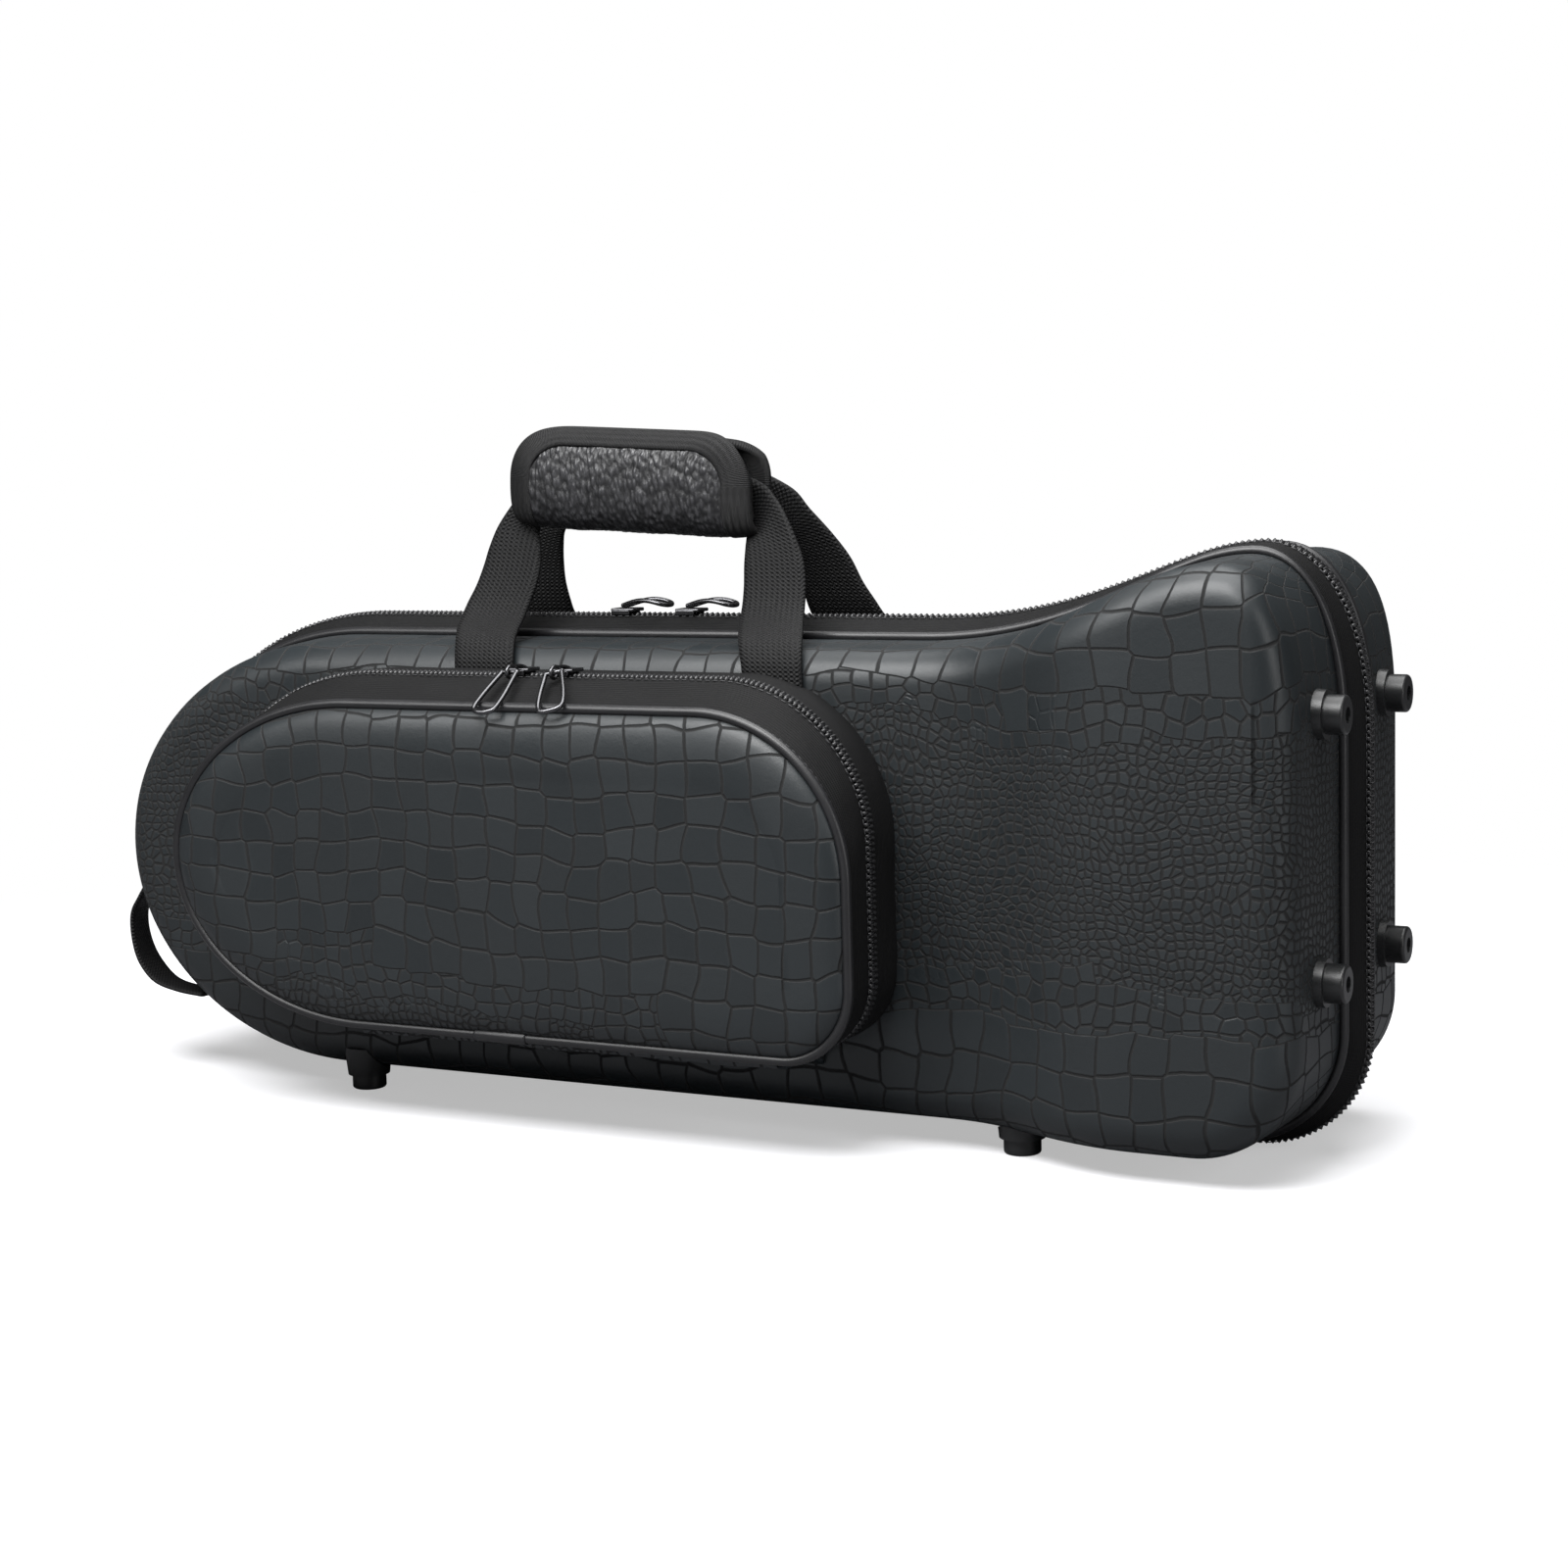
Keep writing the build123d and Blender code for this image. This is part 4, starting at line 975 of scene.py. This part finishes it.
# Each station of a strap is the x, y, z of one edge and the x, y, z of the other, in case millimetres.
# The handle's legs go from their sewn end up to the grip, their left edge first.
strapLook = {
    "thickness": 1.9,
    "thinEdge": 0.7,        # share of the thickness at the selvedge
    "steps": 7,
    "loopSteps": 8,
    "across": 10,
    "gripAt": (-325.0, -294.0, -263.0),
    "gripMiddle": -294.0,
    "gripTilt": 3.2,        # degrees
    "gripTop": 268.0,
    "gripLow": 245.0,
    "frontGrip": -13.0,
    "frontLeft": (
        (-361.8, -53.3, 178.5, -334.0, -53.3, 178.5), (-361.8, -53.3, 183.5, -334.0, -53.3, 183.5),
        (-362.4, -52.2, 189.0, -334.2, -52.2, 189.0), (-364.6, -48.0, 195.4, -336.0, -48.0, 195.4),
        (-368.4, -41.0, 199.8, -338.4, -41.0, 199.8), (-370.6, -34.0, 204.0, -340.0, -34.0, 204.0),
        (-370.6, -28.5, 210.0, -340.2, -28.5, 210.0), (-368.6, -24.5, 217.0, -339.4, -24.5, 217.0),
        (-366.6, -21.5, 225.0, -339.2, -21.0, 225.0), (-364.6, -19.5, 233.0, -340.6, -18.0, 232.0),
        (-361.0, -17.5, 242.0, -343.0, -14.5, 239.0), (-354.0, -15.5, 252.0, -341.5, -12.5, 244.5),
        (-345.5, -14.0, 262.0, -335.0, -12.5, 247.0),
    ),
    "frontRight": (
        (-226.8, -53.3, 174.5, -201.0, -53.3, 173.5), (-227.0, -53.3, 181.5, -201.2, -53.3, 181.5),
        (-228.3, -52.2, 189.0, -201.9, -52.2, 189.0), (-231.4, -48.0, 195.4, -203.6, -48.0, 195.4),
        (-235.0, -41.0, 199.8, -206.6, -41.0, 199.8), (-237.8, -34.0, 204.0, -209.8, -34.0, 204.0),
        (-239.4, -28.5, 210.0, -211.8, -28.5, 210.0), (-240.4, -25.0, 217.0, -213.0, -25.0, 217.0),
        (-241.6, -22.0, 225.0, -214.8, -22.5, 226.0), (-242.6, -18.5, 232.0, -218.4, -20.5, 234.0),
        (-244.0, -14.5, 237.0, -223.5, -18.5, 243.0), (-246.5, -12.5, 240.5, -230.0, -16.0, 251.5),
        (-249.0, -12.5, 243.5, -239.0, -14.0, 258.5),
    ),
    "backGrip": 9.0,
    "backLeft": (
        (-383.5, 60.0, 197.0, -352.0, 60.0, 197.0), (-383.5, 45.0, 197.3, -352.0, 45.0, 197.3),
        (-383.8, 31.0, 198.4, -351.6, 31.0, 198.4), (-384.0, 24.8, 202.0, -351.3, 24.8, 202.0),
        (-383.0, 22.0, 208.0, -351.8, 22.0, 208.0), (-380.5, 20.0, 216.0, -352.6, 20.0, 216.0),
        (-376.4, 18.0, 225.0, -352.0, 18.0, 224.0), (-370.0, 15.5, 235.0, -350.0, 15.0, 232.0),
        (-362.0, 12.5, 247.0, -347.0, 12.0, 238.5), (-352.0, 10.5, 259.0, -341.0, 10.5, 243.5),
    ),
    "backRight": (
        (-234.2, 60.0, 197.0, -201.5, 60.0, 197.0), (-234.2, 45.0, 197.3, -201.5, 45.0, 197.3),
        (-234.6, 31.0, 198.4, -201.2, 31.0, 198.4), (-235.0, 24.8, 202.0, -202.2, 24.8, 202.0),
        (-236.2, 22.0, 208.0, -205.0, 22.0, 208.0), (-237.0, 20.0, 216.0, -209.6, 20.0, 216.0),
        (-237.6, 18.0, 224.0, -214.0, 18.0, 226.0), (-238.4, 15.5, 232.0, -220.4, 15.5, 235.5),
        (-241.0, 12.5, 238.5, -229.0, 12.5, 246.0), (-246.0, 10.5, 242.5, -238.0, 10.5, 256.0),
    ),
    "tailLoop": (
        (-539.0, -45.0, 84.0, -543.0, -27.0, 82.5), (-543.7, -45.0, 77.5, -549.5, -27.0, 76.5),
        (-548.2, -45.0, 70.0, -554.4, -27.0, 69.0), (-548.6, -45.0, 59.5, -554.2, -27.0, 58.0),
        (-545.2, -45.4, 48.5, -549.4, -26.8, 47.0), (-537.0, -45.6, 40.0, -539.6, -26.6, 37.6),
        (-524.5, -45.6, 36.4, -526.0, -26.6, 34.4), (-511.0, -45.6, 35.0, -512.0, -26.6, 34.0),
    ),
}


def webbingMesh(name, spots, steps, look=strapLook):
    across = look["across"]
    edges = [(Vector(spot[:3]), Vector(spot[3:])) for spot in smoothThrough(spots, steps)]
    section = [(-1 + 2 * k / across, 0.5) for k in range(across + 1)]
    section += [(-a, -b) for a, b in section]
    rows, lengths, widths = [], [0.0], []
    for index, (first, last) in enumerate(edges):
        before, after = edges[max(index - 1, 0)], edges[min(index + 1, len(edges) - 1)]
        along = (after[0] + after[1]) - (before[0] + before[1])
        half = (last - first) / 2
        out = half.cross(along).normalized() * look["thickness"]
        row = []
        for a, b in section:
            thin = look["thinEdge"] if abs(a) > 0.98 else 1.0
            row.append((first + last) / 2 + half * a + out * (b * thin))
        if rows:
            lengths.append(lengths[-1] + along.length / 4)
        widths.append(half.length)
        rows.append(row)
    return ringMesh(name, rows, lambda r, c: (section[c % len(section)][0] * widths[r], lengths[r]),
                    capped=True)


# left leg, grip and right leg. The legs' outer edges meet along the top of the grip.
def strapStations(hand, look=strapLook):
    y = look[hand + "Grip"]
    grip = []
    for x in look["gripAt"]:
        drop = (x - look["gripMiddle"]) * math.tan(math.radians(look["gripTilt"]))
        grip.append((x, y, look["gripTop"] - drop, x, y, look["gripLow"] - drop))
    return [*look[hand + "Left"], *grip, *(spot[3:] + spot[:3] for spot in look[hand + "Right"][::-1])]


def makeStraps(look=strapLook):
    mesh = webbingMesh("frontWebbing", strapStations("front"), look["steps"])
    strap = makePiece(mesh, webbingCloth, None, "webbing", "front_strap", "front_strap_ends")
    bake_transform(strap)
    mesh = webbingMesh("backWebbing", strapStations("back"), look["steps"])
    strap = makePiece(mesh, webbingCloth, None, "webbing", "back_strap", "back_strap_ends")
    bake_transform(strap)
    mesh = webbingMesh("tailWebbing", look["tailLoop"], look["loopSteps"])
    makePiece(mesh, webbingCloth, "lid", "webbing", "tail_loop")


# padded wrap, its flap and the flap's binding, all in millimetres
wrapLook = {
    "x": -294.0, "y": -13.0, "z": 259.5, "tilt": 3.2,
    "halfLength": 56.0, "halfDeep": 13.0, "halfHigh": 19.0, "power": 2.7,
    "wall": 3.6, "mouth": 15.0, "mouthTurn": 36.0, "flapOut": 2.3, "flapWall": 2.0,
    "sleeveGrid": (56, 64), "flapGrid": (140, 160),      # rows along or up, columns over
    "flapLow": -31.0, "flapTop": 24.5,      # of skin from the middle of the front
    "flapEdge": 9.0,                        # over which the folds fade out
    "cornerLong": 27.0, "cornerTall": 25.0, "backCorner": 9.0,
    "bindingWide": 11.0, "bindingHigh": 0.8,
    # the binding's section over the flap's edge: (share of its width, share of its height, or mm below -1)
    "bindingSection": ((-0.02, -2.2), (-0.07, -1.0), (-0.07, 0.2), (-0.03, 0.95), (0.07, 1.0), (0.35, 1.0),
                       (0.65, 1.0), (0.92, 1.0), (0.98, 0.7), (1.0, 0.0), (0.92, -0.6), (0.5, -0.6),
                       (0.12, -2.2)),
}


# point on the wrap's skin: s along it, turn in degrees with the front at 0 and the top at 90
def wrapPoint(s, turn, out, look=wrapLook):
    far = min(1.0, abs(s) / (look["halfLength"] + 1.5))
    deep = (look["halfDeep"] + out) * (1 - 0.34 * far ** 6)
    high = (look["halfHigh"] + out) * (1 - 0.13 * far ** 6)
    c, n = math.cos(math.radians(turn)), math.sin(math.radians(turn))
    y = look["y"] - deep * math.copysign(abs(c) ** (2 / look["power"]), c)
    z = high * math.copysign(abs(n) ** (2 / look["power"]), n)
    lean = math.radians(look["tilt"])
    x = look["x"] + s * math.cos(lean) + z * math.sin(lean)
    return x, y, look["z"] + z * math.cos(lean) - s * math.sin(lean)


# closed sheet. spotsAt(share of the rows, share of the columns) gives its outer and inner point there.
def sheetMesh(name, rowCount, columnCount, spotsAt, uvOf):
    width = columnCount + 1
    pairs = [spotsAt(r / rowCount, c / columnCount) for r in range(rowCount + 1) for c in range(width)]
    base = len(pairs)
    faces, corners = [], []
    for r in range(rowCount):
        for c in range(columnCount):
            cell = ((r, c), (r, c + 1), (r + 1, c + 1), (r + 1, c))
            faces += [[a * width + b for a, b in cell], [base + a * width + b for a, b in cell[::-1]]]
            corners += [cell, cell[::-1]]
    border = [(0, c) for c in range(columnCount)] + [(r, columnCount) for r in range(rowCount)]
    border += [(rowCount, c) for c in range(columnCount, 0, -1)] + [(r, 0) for r in range(rowCount, 0, -1)]
    for a, b in zip(border, border[1:] + border[:1]):
        first, last = a[0] * width + a[1], b[0] * width + b[1]
        faces.append([first, last, base + last, base + first])
        corners.append((a, b, b, a))
    points = [outer for outer, inner in pairs] + [inner for outer, inner in pairs]
    return finishMesh(name, points, faces, [[uvOf(r, c) for r, c in cell] for cell in corners])


# (mm of skin above the middle of the front, turn) all the way round the wrap
def skinTurns(look=wrapLook):
    spots, total, last = [], 0.0, None
    for step in range(721):
        turn = -180 + step * 0.5
        x, y, z = wrapPoint(0.0, turn, look["flapOut"])
        total += math.hypot(y - last[0], z - last[1]) if last else 0.0
        last = (y, z)
        spots.append((total, turn))
    middle = spots[360][0]
    return [(length - middle, turn) for length, turn in spots]


wrapTurns = skinTurns()


def turnAt(skin):
    low, high = 0, len(wrapTurns) - 1
    while high - low > 1:
        middle = (low + high) // 2
        low, high = (middle, high) if wrapTurns[middle][0] <= skin else (low, middle)
    first, last = wrapTurns[low], wrapTurns[high]
    share = (skin - first[0]) / max(1e-9, last[0] - first[0])
    return first[1] + (last[1] - first[1]) * share


# half length of the flap at a place on its skin: full below, round at the top's corners
def flapHalf(skin, look=wrapLook):
    rise = (skin - look["flapTop"] + look["cornerTall"]) / look["cornerTall"]
    return look["halfLength"] - look["cornerLong"] * (1 - math.sqrt(1 - clamp(rise) ** 2))


# half length of the sleeve, hidden behind the flap's corners in front and squarer behind
def sleeveHalf(turn, look=wrapLook):
    tall = max(0.0, math.sin(math.radians(turn)))
    behind = clamp((turn - 80) / 60)
    corner = look["cornerLong"] + (look["backCorner"] - look["cornerLong"]) * behind
    rise = max(0.0, tall ** (2 / look["power"]) - 0.05) / 0.95
    return look["halfLength"] - corner * (1 - math.sqrt(max(0.0, 1 - rise ** 2)))


# the flap's soft leather: upright folds on the left, pebbles on the right
def crinkle(s, turn):
    left = clamp((10 - s) / 50)
    folds = softNoise(s / 1.9, turn / 26, 3.0) * left
    pebbles = softNoise(s / 1.7, turn / 7.0, 9.0) * (1.1 - 0.6 * left)
    return 0.42 * folds + 0.3 * pebbles + 0.5 * softNoise(s / 17, turn / 60, 5.0)


def sleeveSpots(up, over, look=wrapLook):
    along = 2 * up - 1
    mouth = clamp((look["halfLength"] * (abs(along) - 1) + look["mouth"]) / 6.0)
    opened = look["mouthTurn"] * mouth + 1.5
    turn = -90 + opened + (360 - 2 * opened) * over
    s = sleeveHalf(turn) * along
    outer = wrapPoint(s, turn, 0.25 * softNoise(s / 9, turn / 30, 1.0))
    return outer, wrapPoint(s * 0.997, turn, -look["wall"])


def flapSpots(up, over, look=wrapLook):
    skin = look["flapLow"] + (look["flapTop"] - look["flapLow"]) * (1 - (1 - up) ** 1.3)
    turn, half = turnAt(skin), flapHalf(skin)
    s = half * (2 * over - 1)
    fade = clamp(min(half - abs(s), look["flapTop"] - skin) / look["flapEdge"])
    outer = wrapPoint(s, turn, look["flapOut"] + fade * crinkle(s, turn))
    return outer, wrapPoint(s, turn, look["flapOut"] - look["flapWall"])


# grosgrain folded over the flap's edge: up the left side, along the top and down the right.
# The path is (s, skin, and the way in from the edge in both).
def flapBinding(look=wrapLook):
    long, tall, top, low = (look[key] for key in ("cornerLong", "cornerTall", "flapTop", "flapLow"))
    path = [(-look["halfLength"], low + (top - tall - low) * step / 36, 1.0, 0.0) for step in range(36)]
    for step in range(25):
        t = math.pi / 2 * step / 24
        inward = Vector((math.cos(t) / long, math.sin(t) / tall)).normalized()
        s = -look["halfLength"] + long * (1 - math.cos(t))
        path.append((s, top - tall * (1 - math.sin(t)), inward.x, -inward.y))
    last = path[-1][0]
    middle = [(last * (1 - step / 20), top, 0.0, -1.0) for step in range(1, 40)]
    path += middle + [(-s, skin, -a, b) for s, skin, a, b in path[::-1]]
    rows = []
    for s, skin, inwardS, inwardSkin in path:
        row = []
        for share, lift in look["bindingSection"]:
            wide = share * look["bindingWide"]
            high = look["flapOut"] + (lift * look["bindingHigh"] if lift > -1 else lift)
            row.append(wrapPoint(s + inwardS * wide, turnAt(skin + inwardSkin * wide), high))
        rows.append(row)
    return ringMesh("flapBinding", rows, lambda r, c: (c * 1.4, r * 1.8), capped=True)


def makeWrap(look=wrapLook):
    mesh = sheetMesh("wrapSleeve", *look["sleeveGrid"], sleeveSpots, lambda r, c: (r * 2.0, c * 1.6))
    sleeve = makePiece(mesh, sleeveCloth, "front_handle", "wrap_leather", "handle_wrap")
    mesh = sheetMesh("flapLeather", *look["flapGrid"], flapSpots, lambda r, c: (c * 0.7, r * 0.5))
    flap = makePiece(mesh, grainLeather, None, "wrap_leather", "wrap_flap")
    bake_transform(flap)
    binding = makePiece(flapBinding(), grosgrain, None, "webbing", "flap_binding")
    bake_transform(binding)


# Each block of a slider is (low x, high x, low y, high y, low z, high z, bevel), in millimetres from
# the middle of the zip's crest.
sliderLook = {
    "blocks": (
        (-5.5, 5.5, -4.7, 4.7, 1.7, 3.2, 0.6),        # top plate
        (-5.3, 3.4, -4.8, -3.6, 0.4, 2.5, 0.35),      # its two flanges
        (-5.3, 3.4, 3.6, 4.8, 0.4, 2.5, 0.35),
        (-2.4, 2.4, -0.3, 0.3, -3.2, 2.2, 0.12),      # wedge between the halves
        (-5.0, 5.0, -3.4, 3.4, -3.3, -2.2, 0.4),      # bottom plate
    ),
    "bridgeWire": 0.75, "bridgeSides": 8, "bridgeRound": 2.3, "bridgeLift": 0.1,
}
pullLook = {
    "wire": 1.0, "sides": 12, "narrow": 3.4, "wide": 4.9,
    "mainLength": 21.0, "mainArch": 2.2,
    "pocketLength": 26.0, "slope": 33.0,
    "skew": {"left": 0.0, "right": 23.0},      # degrees that a pocket pull hangs askew
}


# round wire along a path of points
def wireMesh(name, path, radius, sides, closed=True):
    rows = []
    side = Vector((0, 0, 1))
    for index, point in enumerate(path):
        before, after = path[(index - 1) % len(path)], path[(index + 1) % len(path)]
        along = (Vector(after) - Vector(before)).normalized()
        side = (side - along * side.dot(along)).normalized()
        up = along.cross(side)
        rows.append([Vector(point) + side * (radius * math.cos(turn)) + up * (radius * math.sin(turn))
                     for turn in turnsOf(sides)])
    return ringMesh(name, rows, looped=closed)


# closed loop of a pull, narrow at its slider and wide at its free end
def pullPath(pivot, along, across, length, arch=0.0, look=pullLook):
    lift = Vector(along).cross(Vector(across))
    half = [(0.25, look["narrow"]), (1.1, look["narrow"]), (length * 0.55, look["wide"]),
            (length - 3.2, look["wide"]), (length - 0.9, look["wide"] * 0.55)]
    corners = [(a, -b) for a, b in half] + [(length - 0.5, 0)] + half[::-1] + [(0.05, 0.0)]
    ring = smoothThrough([corners[-1]] + corners + [corners[0]], 5)[5:-5]
    return [pivot + Vector(along) * a + Vector(across) * b
            + lift * (arch * math.sin(math.pi * clamp(a / length))) for a, b in ring]


# adds a block with bevelled edges to a bmesh
def roundedBlock(work, low, high, bevel):
    made = bmesh.ops.create_cube(work, size=1.0)["verts"]
    middle, size = (low + high) / 2, high - low
    for vertex in made:
        vertex.co = place(*(vertex.co * size + middle))
    edges = list({edge for vertex in made for edge in vertex.link_edges})
    bmesh.ops.bevel(work, geom=edges, offset=bevel * mm, segments=3, profile=0.6, affect="EDGES")


def sliderMesh(name, middle, look=sliderLook):
    work = bmesh.new()
    for lowX, highX, lowY, highY, lowZ, highZ, bevel in look["blocks"]:
        low, high = Vector((lowX, lowY, lowZ)), Vector((highX, highY, highZ))
        roundedBlock(work, middle + low, middle + high, bevel)
    mesh = bpy.data.meshes.new(name)
    work.to_mesh(mesh)
    work.free()
    return mesh


# ring over a main slider's plate that holds its pull
def mainBridge(pivot, look=sliderLook):
    around, lift = look["bridgeRound"], look["bridgeLift"]
    return [pivot + Vector((around * math.cos(turn), 0, around * math.sin(turn) + lift))
            for turn in turnsOf(24)]


# bent wire from a pocket slider's plate out to the eye that holds its pull
def pocketBridge(pivot, middle):
    plate = ((3.0, 2.9), (-1.0, 3.9), (-5.5, 4.1))
    eye = ((0.3, 2.3), (-1.9, 0.9), (-1.6, -1.5), (0.6, -2.2), (2.6, -1.0))
    spots = [(pivot.x, middle.y + y, middle.z + z) for y, z in plate]
    return smoothThrough(spots + [(pivot.x, pivot.y + y, pivot.z + z) for y, z in eye], 5)


def makeSliders():
    crests = {"main": (0.0, caseShape["top"] + caseShape["swellTop"]),
              "pocket": (-pocketShape["zipDepth"], pocketShape["top"] + pocketShape["lift"])}
    for kind, (y, z) in crests.items():
        for hand in ("left", "right"):
            node, pull = "%s_slider_%s" % (kind, hand), "%s_pull_%s" % (kind, hand)
            word = kind + hand.title()
            low, high = (toCase(corner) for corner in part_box(node))
            middle = Vector(((low.x + high.x) / 2, y, z))
            swing = next(joint for joint in frame["joints"] if joint["name"] == pull + "_swing")
            pivot = toCase(Vector(swing["pos_m"]))
            if kind == "main":
                bridge = mainBridge(pivot)
                path = pullPath(pivot, (1, 0, 0), (0, 1, 0), pullLook["mainLength"], pullLook["mainArch"])
            else:
                bridge = pocketBridge(pivot, middle)
                slope, skew = math.radians(pullLook["slope"]), math.radians(pullLook["skew"][hand])
                down, aside = Vector((0, -math.cos(slope), -math.sin(slope))), Vector((1, 0, 0))
                path = pullPath(pivot, down * math.cos(skew) + aside * math.sin(skew),
                                aside * math.cos(skew) - down * math.sin(skew), pullLook["pocketLength"])
            makePiece(sliderMesh(word + "Slider", middle), darkMetal, node + "_body", "black_nickel", node)
            mesh = wireMesh(word + "Bridge", bridge, sliderLook["bridgeWire"], sliderLook["bridgeSides"],
                            kind == "main")
            makePiece(mesh, darkMetal, node + "_body", "black_nickel")
            mesh = wireMesh(word + "Pull", path, pullLook["wire"], pullLook["sides"])
            makePiece(mesh, darkMetal, pull + "_body", "black_nickel", pull)


# plush lining of each half, made from the foam blocks
liningLook = {"voxel": 2.6, "smooth": 6, "fill": 0.9}


def makeLinings(look=liningLook):
    for side, word, body in halves:
        names = ["%s_%s_foam" % (word, part) for part in ("tail", "tube", "valve", "throat", "bell", "end")]
        work = bmesh.new()
        for name in names:
            work.from_mesh(nodes[name].data)
        mesh = bpy.data.meshes.new(word + "Lining")
        work.to_mesh(mesh)
        work.free()
        lining = makePiece(mesh, plushCloth, body, "plush_foam", *names)
        bpy.context.view_layer.objects.active = lining
        remesh = lining.modifiers.new("remesh", "REMESH")
        remesh.mode, remesh.voxel_size = "VOXEL", look["voxel"] * mm
        smooth = lining.modifiers.new("smooth", "SMOOTH")
        smooth.factor, smooth.iterations = 0.5, look["smooth"]
        graph = bpy.context.evaluated_depsgraph_get()
        final = bpy.data.meshes.new_from_object(lining.evaluated_get(graph))
        lining.modifiers.clear()
        lining.data = final
        final.shade_smooth()


makeShells()
print("shells made")
makeBands()
makeTeeth()
makeStitching()
makePiping()
print("bands, zips and piping made")
makePocketPanel()
makePocketHinge()
makeBottomHinge()
print("pocket and hinges made")
makeStraps()
makeWrap()
print("handle and tail loop made")
makeSliders()
makeLinings()
print("sliders and linings made")


# floor, background and lights
studio = {
    "floorColour": (0.62, 0.62, 0.64),      # as the camera sees it
    "bounceColour": (0.20, 0.20, 0.21),     # as it lights the case
    "floorLift": 0.46,
    "whiteFrom": 0.42,                      # metres from the middle where the floor turns white
    "whiteTo": 0.75,
    "glossShare": 0.05,
    "skyStrength": 0.03,
    # place, aim and size in metres, power in watts
    "lamps": {
        "keyLight": ((-0.06, -0.62, 1.0), (0, 0, 0.2), (0.9, 0.5), 20.0),
        "sheenLight": ((-0.75, -1.25, 0.95), (0, 0, 0.16), (1.0, 0.6), 13.0),
        "topLight": ((0.15, 0.1, 1.45), (0, 0, 0.1), (1.6, 1.1), 28.0),
        "rimLight": ((1.5, -0.5, 0.5), (0.1, 0, 0.12), (0.25, 1.0), 5.0),
    },
    "glossOnly": ("sheenLight",),
}


def makeSky(look=studio):
    world = bpy.data.worlds.new("world")
    bpy.context.scene.world = world
    world.use_nodes = True
    tree = world.node_tree
    background = tree.nodes["Background"]
    background.inputs["Color"].default_value = (1, 1, 1, 1)
    rays = addNode(tree, "LightPath").outputs
    seen = mathNode(tree, "MAXIMUM", rays["Is Camera Ray"], rays["Is Transmission Ray"])
    seen = mathNode(tree, "MAXIMUM", seen, times(tree, rays["Is Glossy Ray"], look["glossShare"]))
    feed(background.inputs["Strength"], mixValue(tree, seen, look["skyStrength"], 1.0))


def makeFloor(look=studio):
    bpy.ops.mesh.primitive_plane_add(size=40)
    floor = bpy.context.object
    floor.name = "floor"
    material, tree, shader, coords = newMaterial("floorPaint")
    shader.inputs["Roughness"].default_value = 0.8
    shader.inputs["Specular IOR Level"].default_value = 0.1
    byCamera = addNode(tree, "LightPath").outputs["Is Camera Ray"]
    feed(shader.inputs["Base Color"], mixColour(tree, byCamera, look["bounceColour"], look["floorColour"]))
    glow = addNode(tree, "Emission", {"Strength": times(tree, byCamera, look["floorLift"])}).outputs[0]
    lit = addNode(tree, "AddShader", {0: shader.outputs[0], 1: glow}).outputs[0]
    white = addNode(tree, "Emission").outputs[0]
    away = addNode(tree, "VectorMath", {0: coords.outputs["Object"]}, operation="LENGTH").outputs["Value"]
    share = times(tree, ramp(tree, away, look["whiteFrom"], look["whiteTo"]), byCamera)
    either = addNode(tree, "MixShader", {0: share, 1: lit, 2: white}).outputs[0]
    feed(tree.nodes["Material Output"].inputs["Surface"], either)
    floor.data.materials.append(material)


def makeLamps(look=studio):
    for name, (spot, aim, size, power) in look["lamps"].items():
        data = bpy.data.lights.new(name, "AREA")
        data.shape = "RECTANGLE"
        data.size, data.size_y = size
        data.energy = power
        lamp = bpy.data.objects.new(name, data)
        bpy.context.scene.collection.objects.link(lamp)
        lamp.location = spot
        lamp.rotation_euler = (Vector(aim) - Vector(spot)).to_track_quat("-Z", "Y").to_euler()
        lamp.visible_diffuse = name not in look["glossOnly"]


makeSky()
makeFloor()
makeLamps()
bpy.context.scene.view_settings.view_transform = "Standard"
print("studio made")
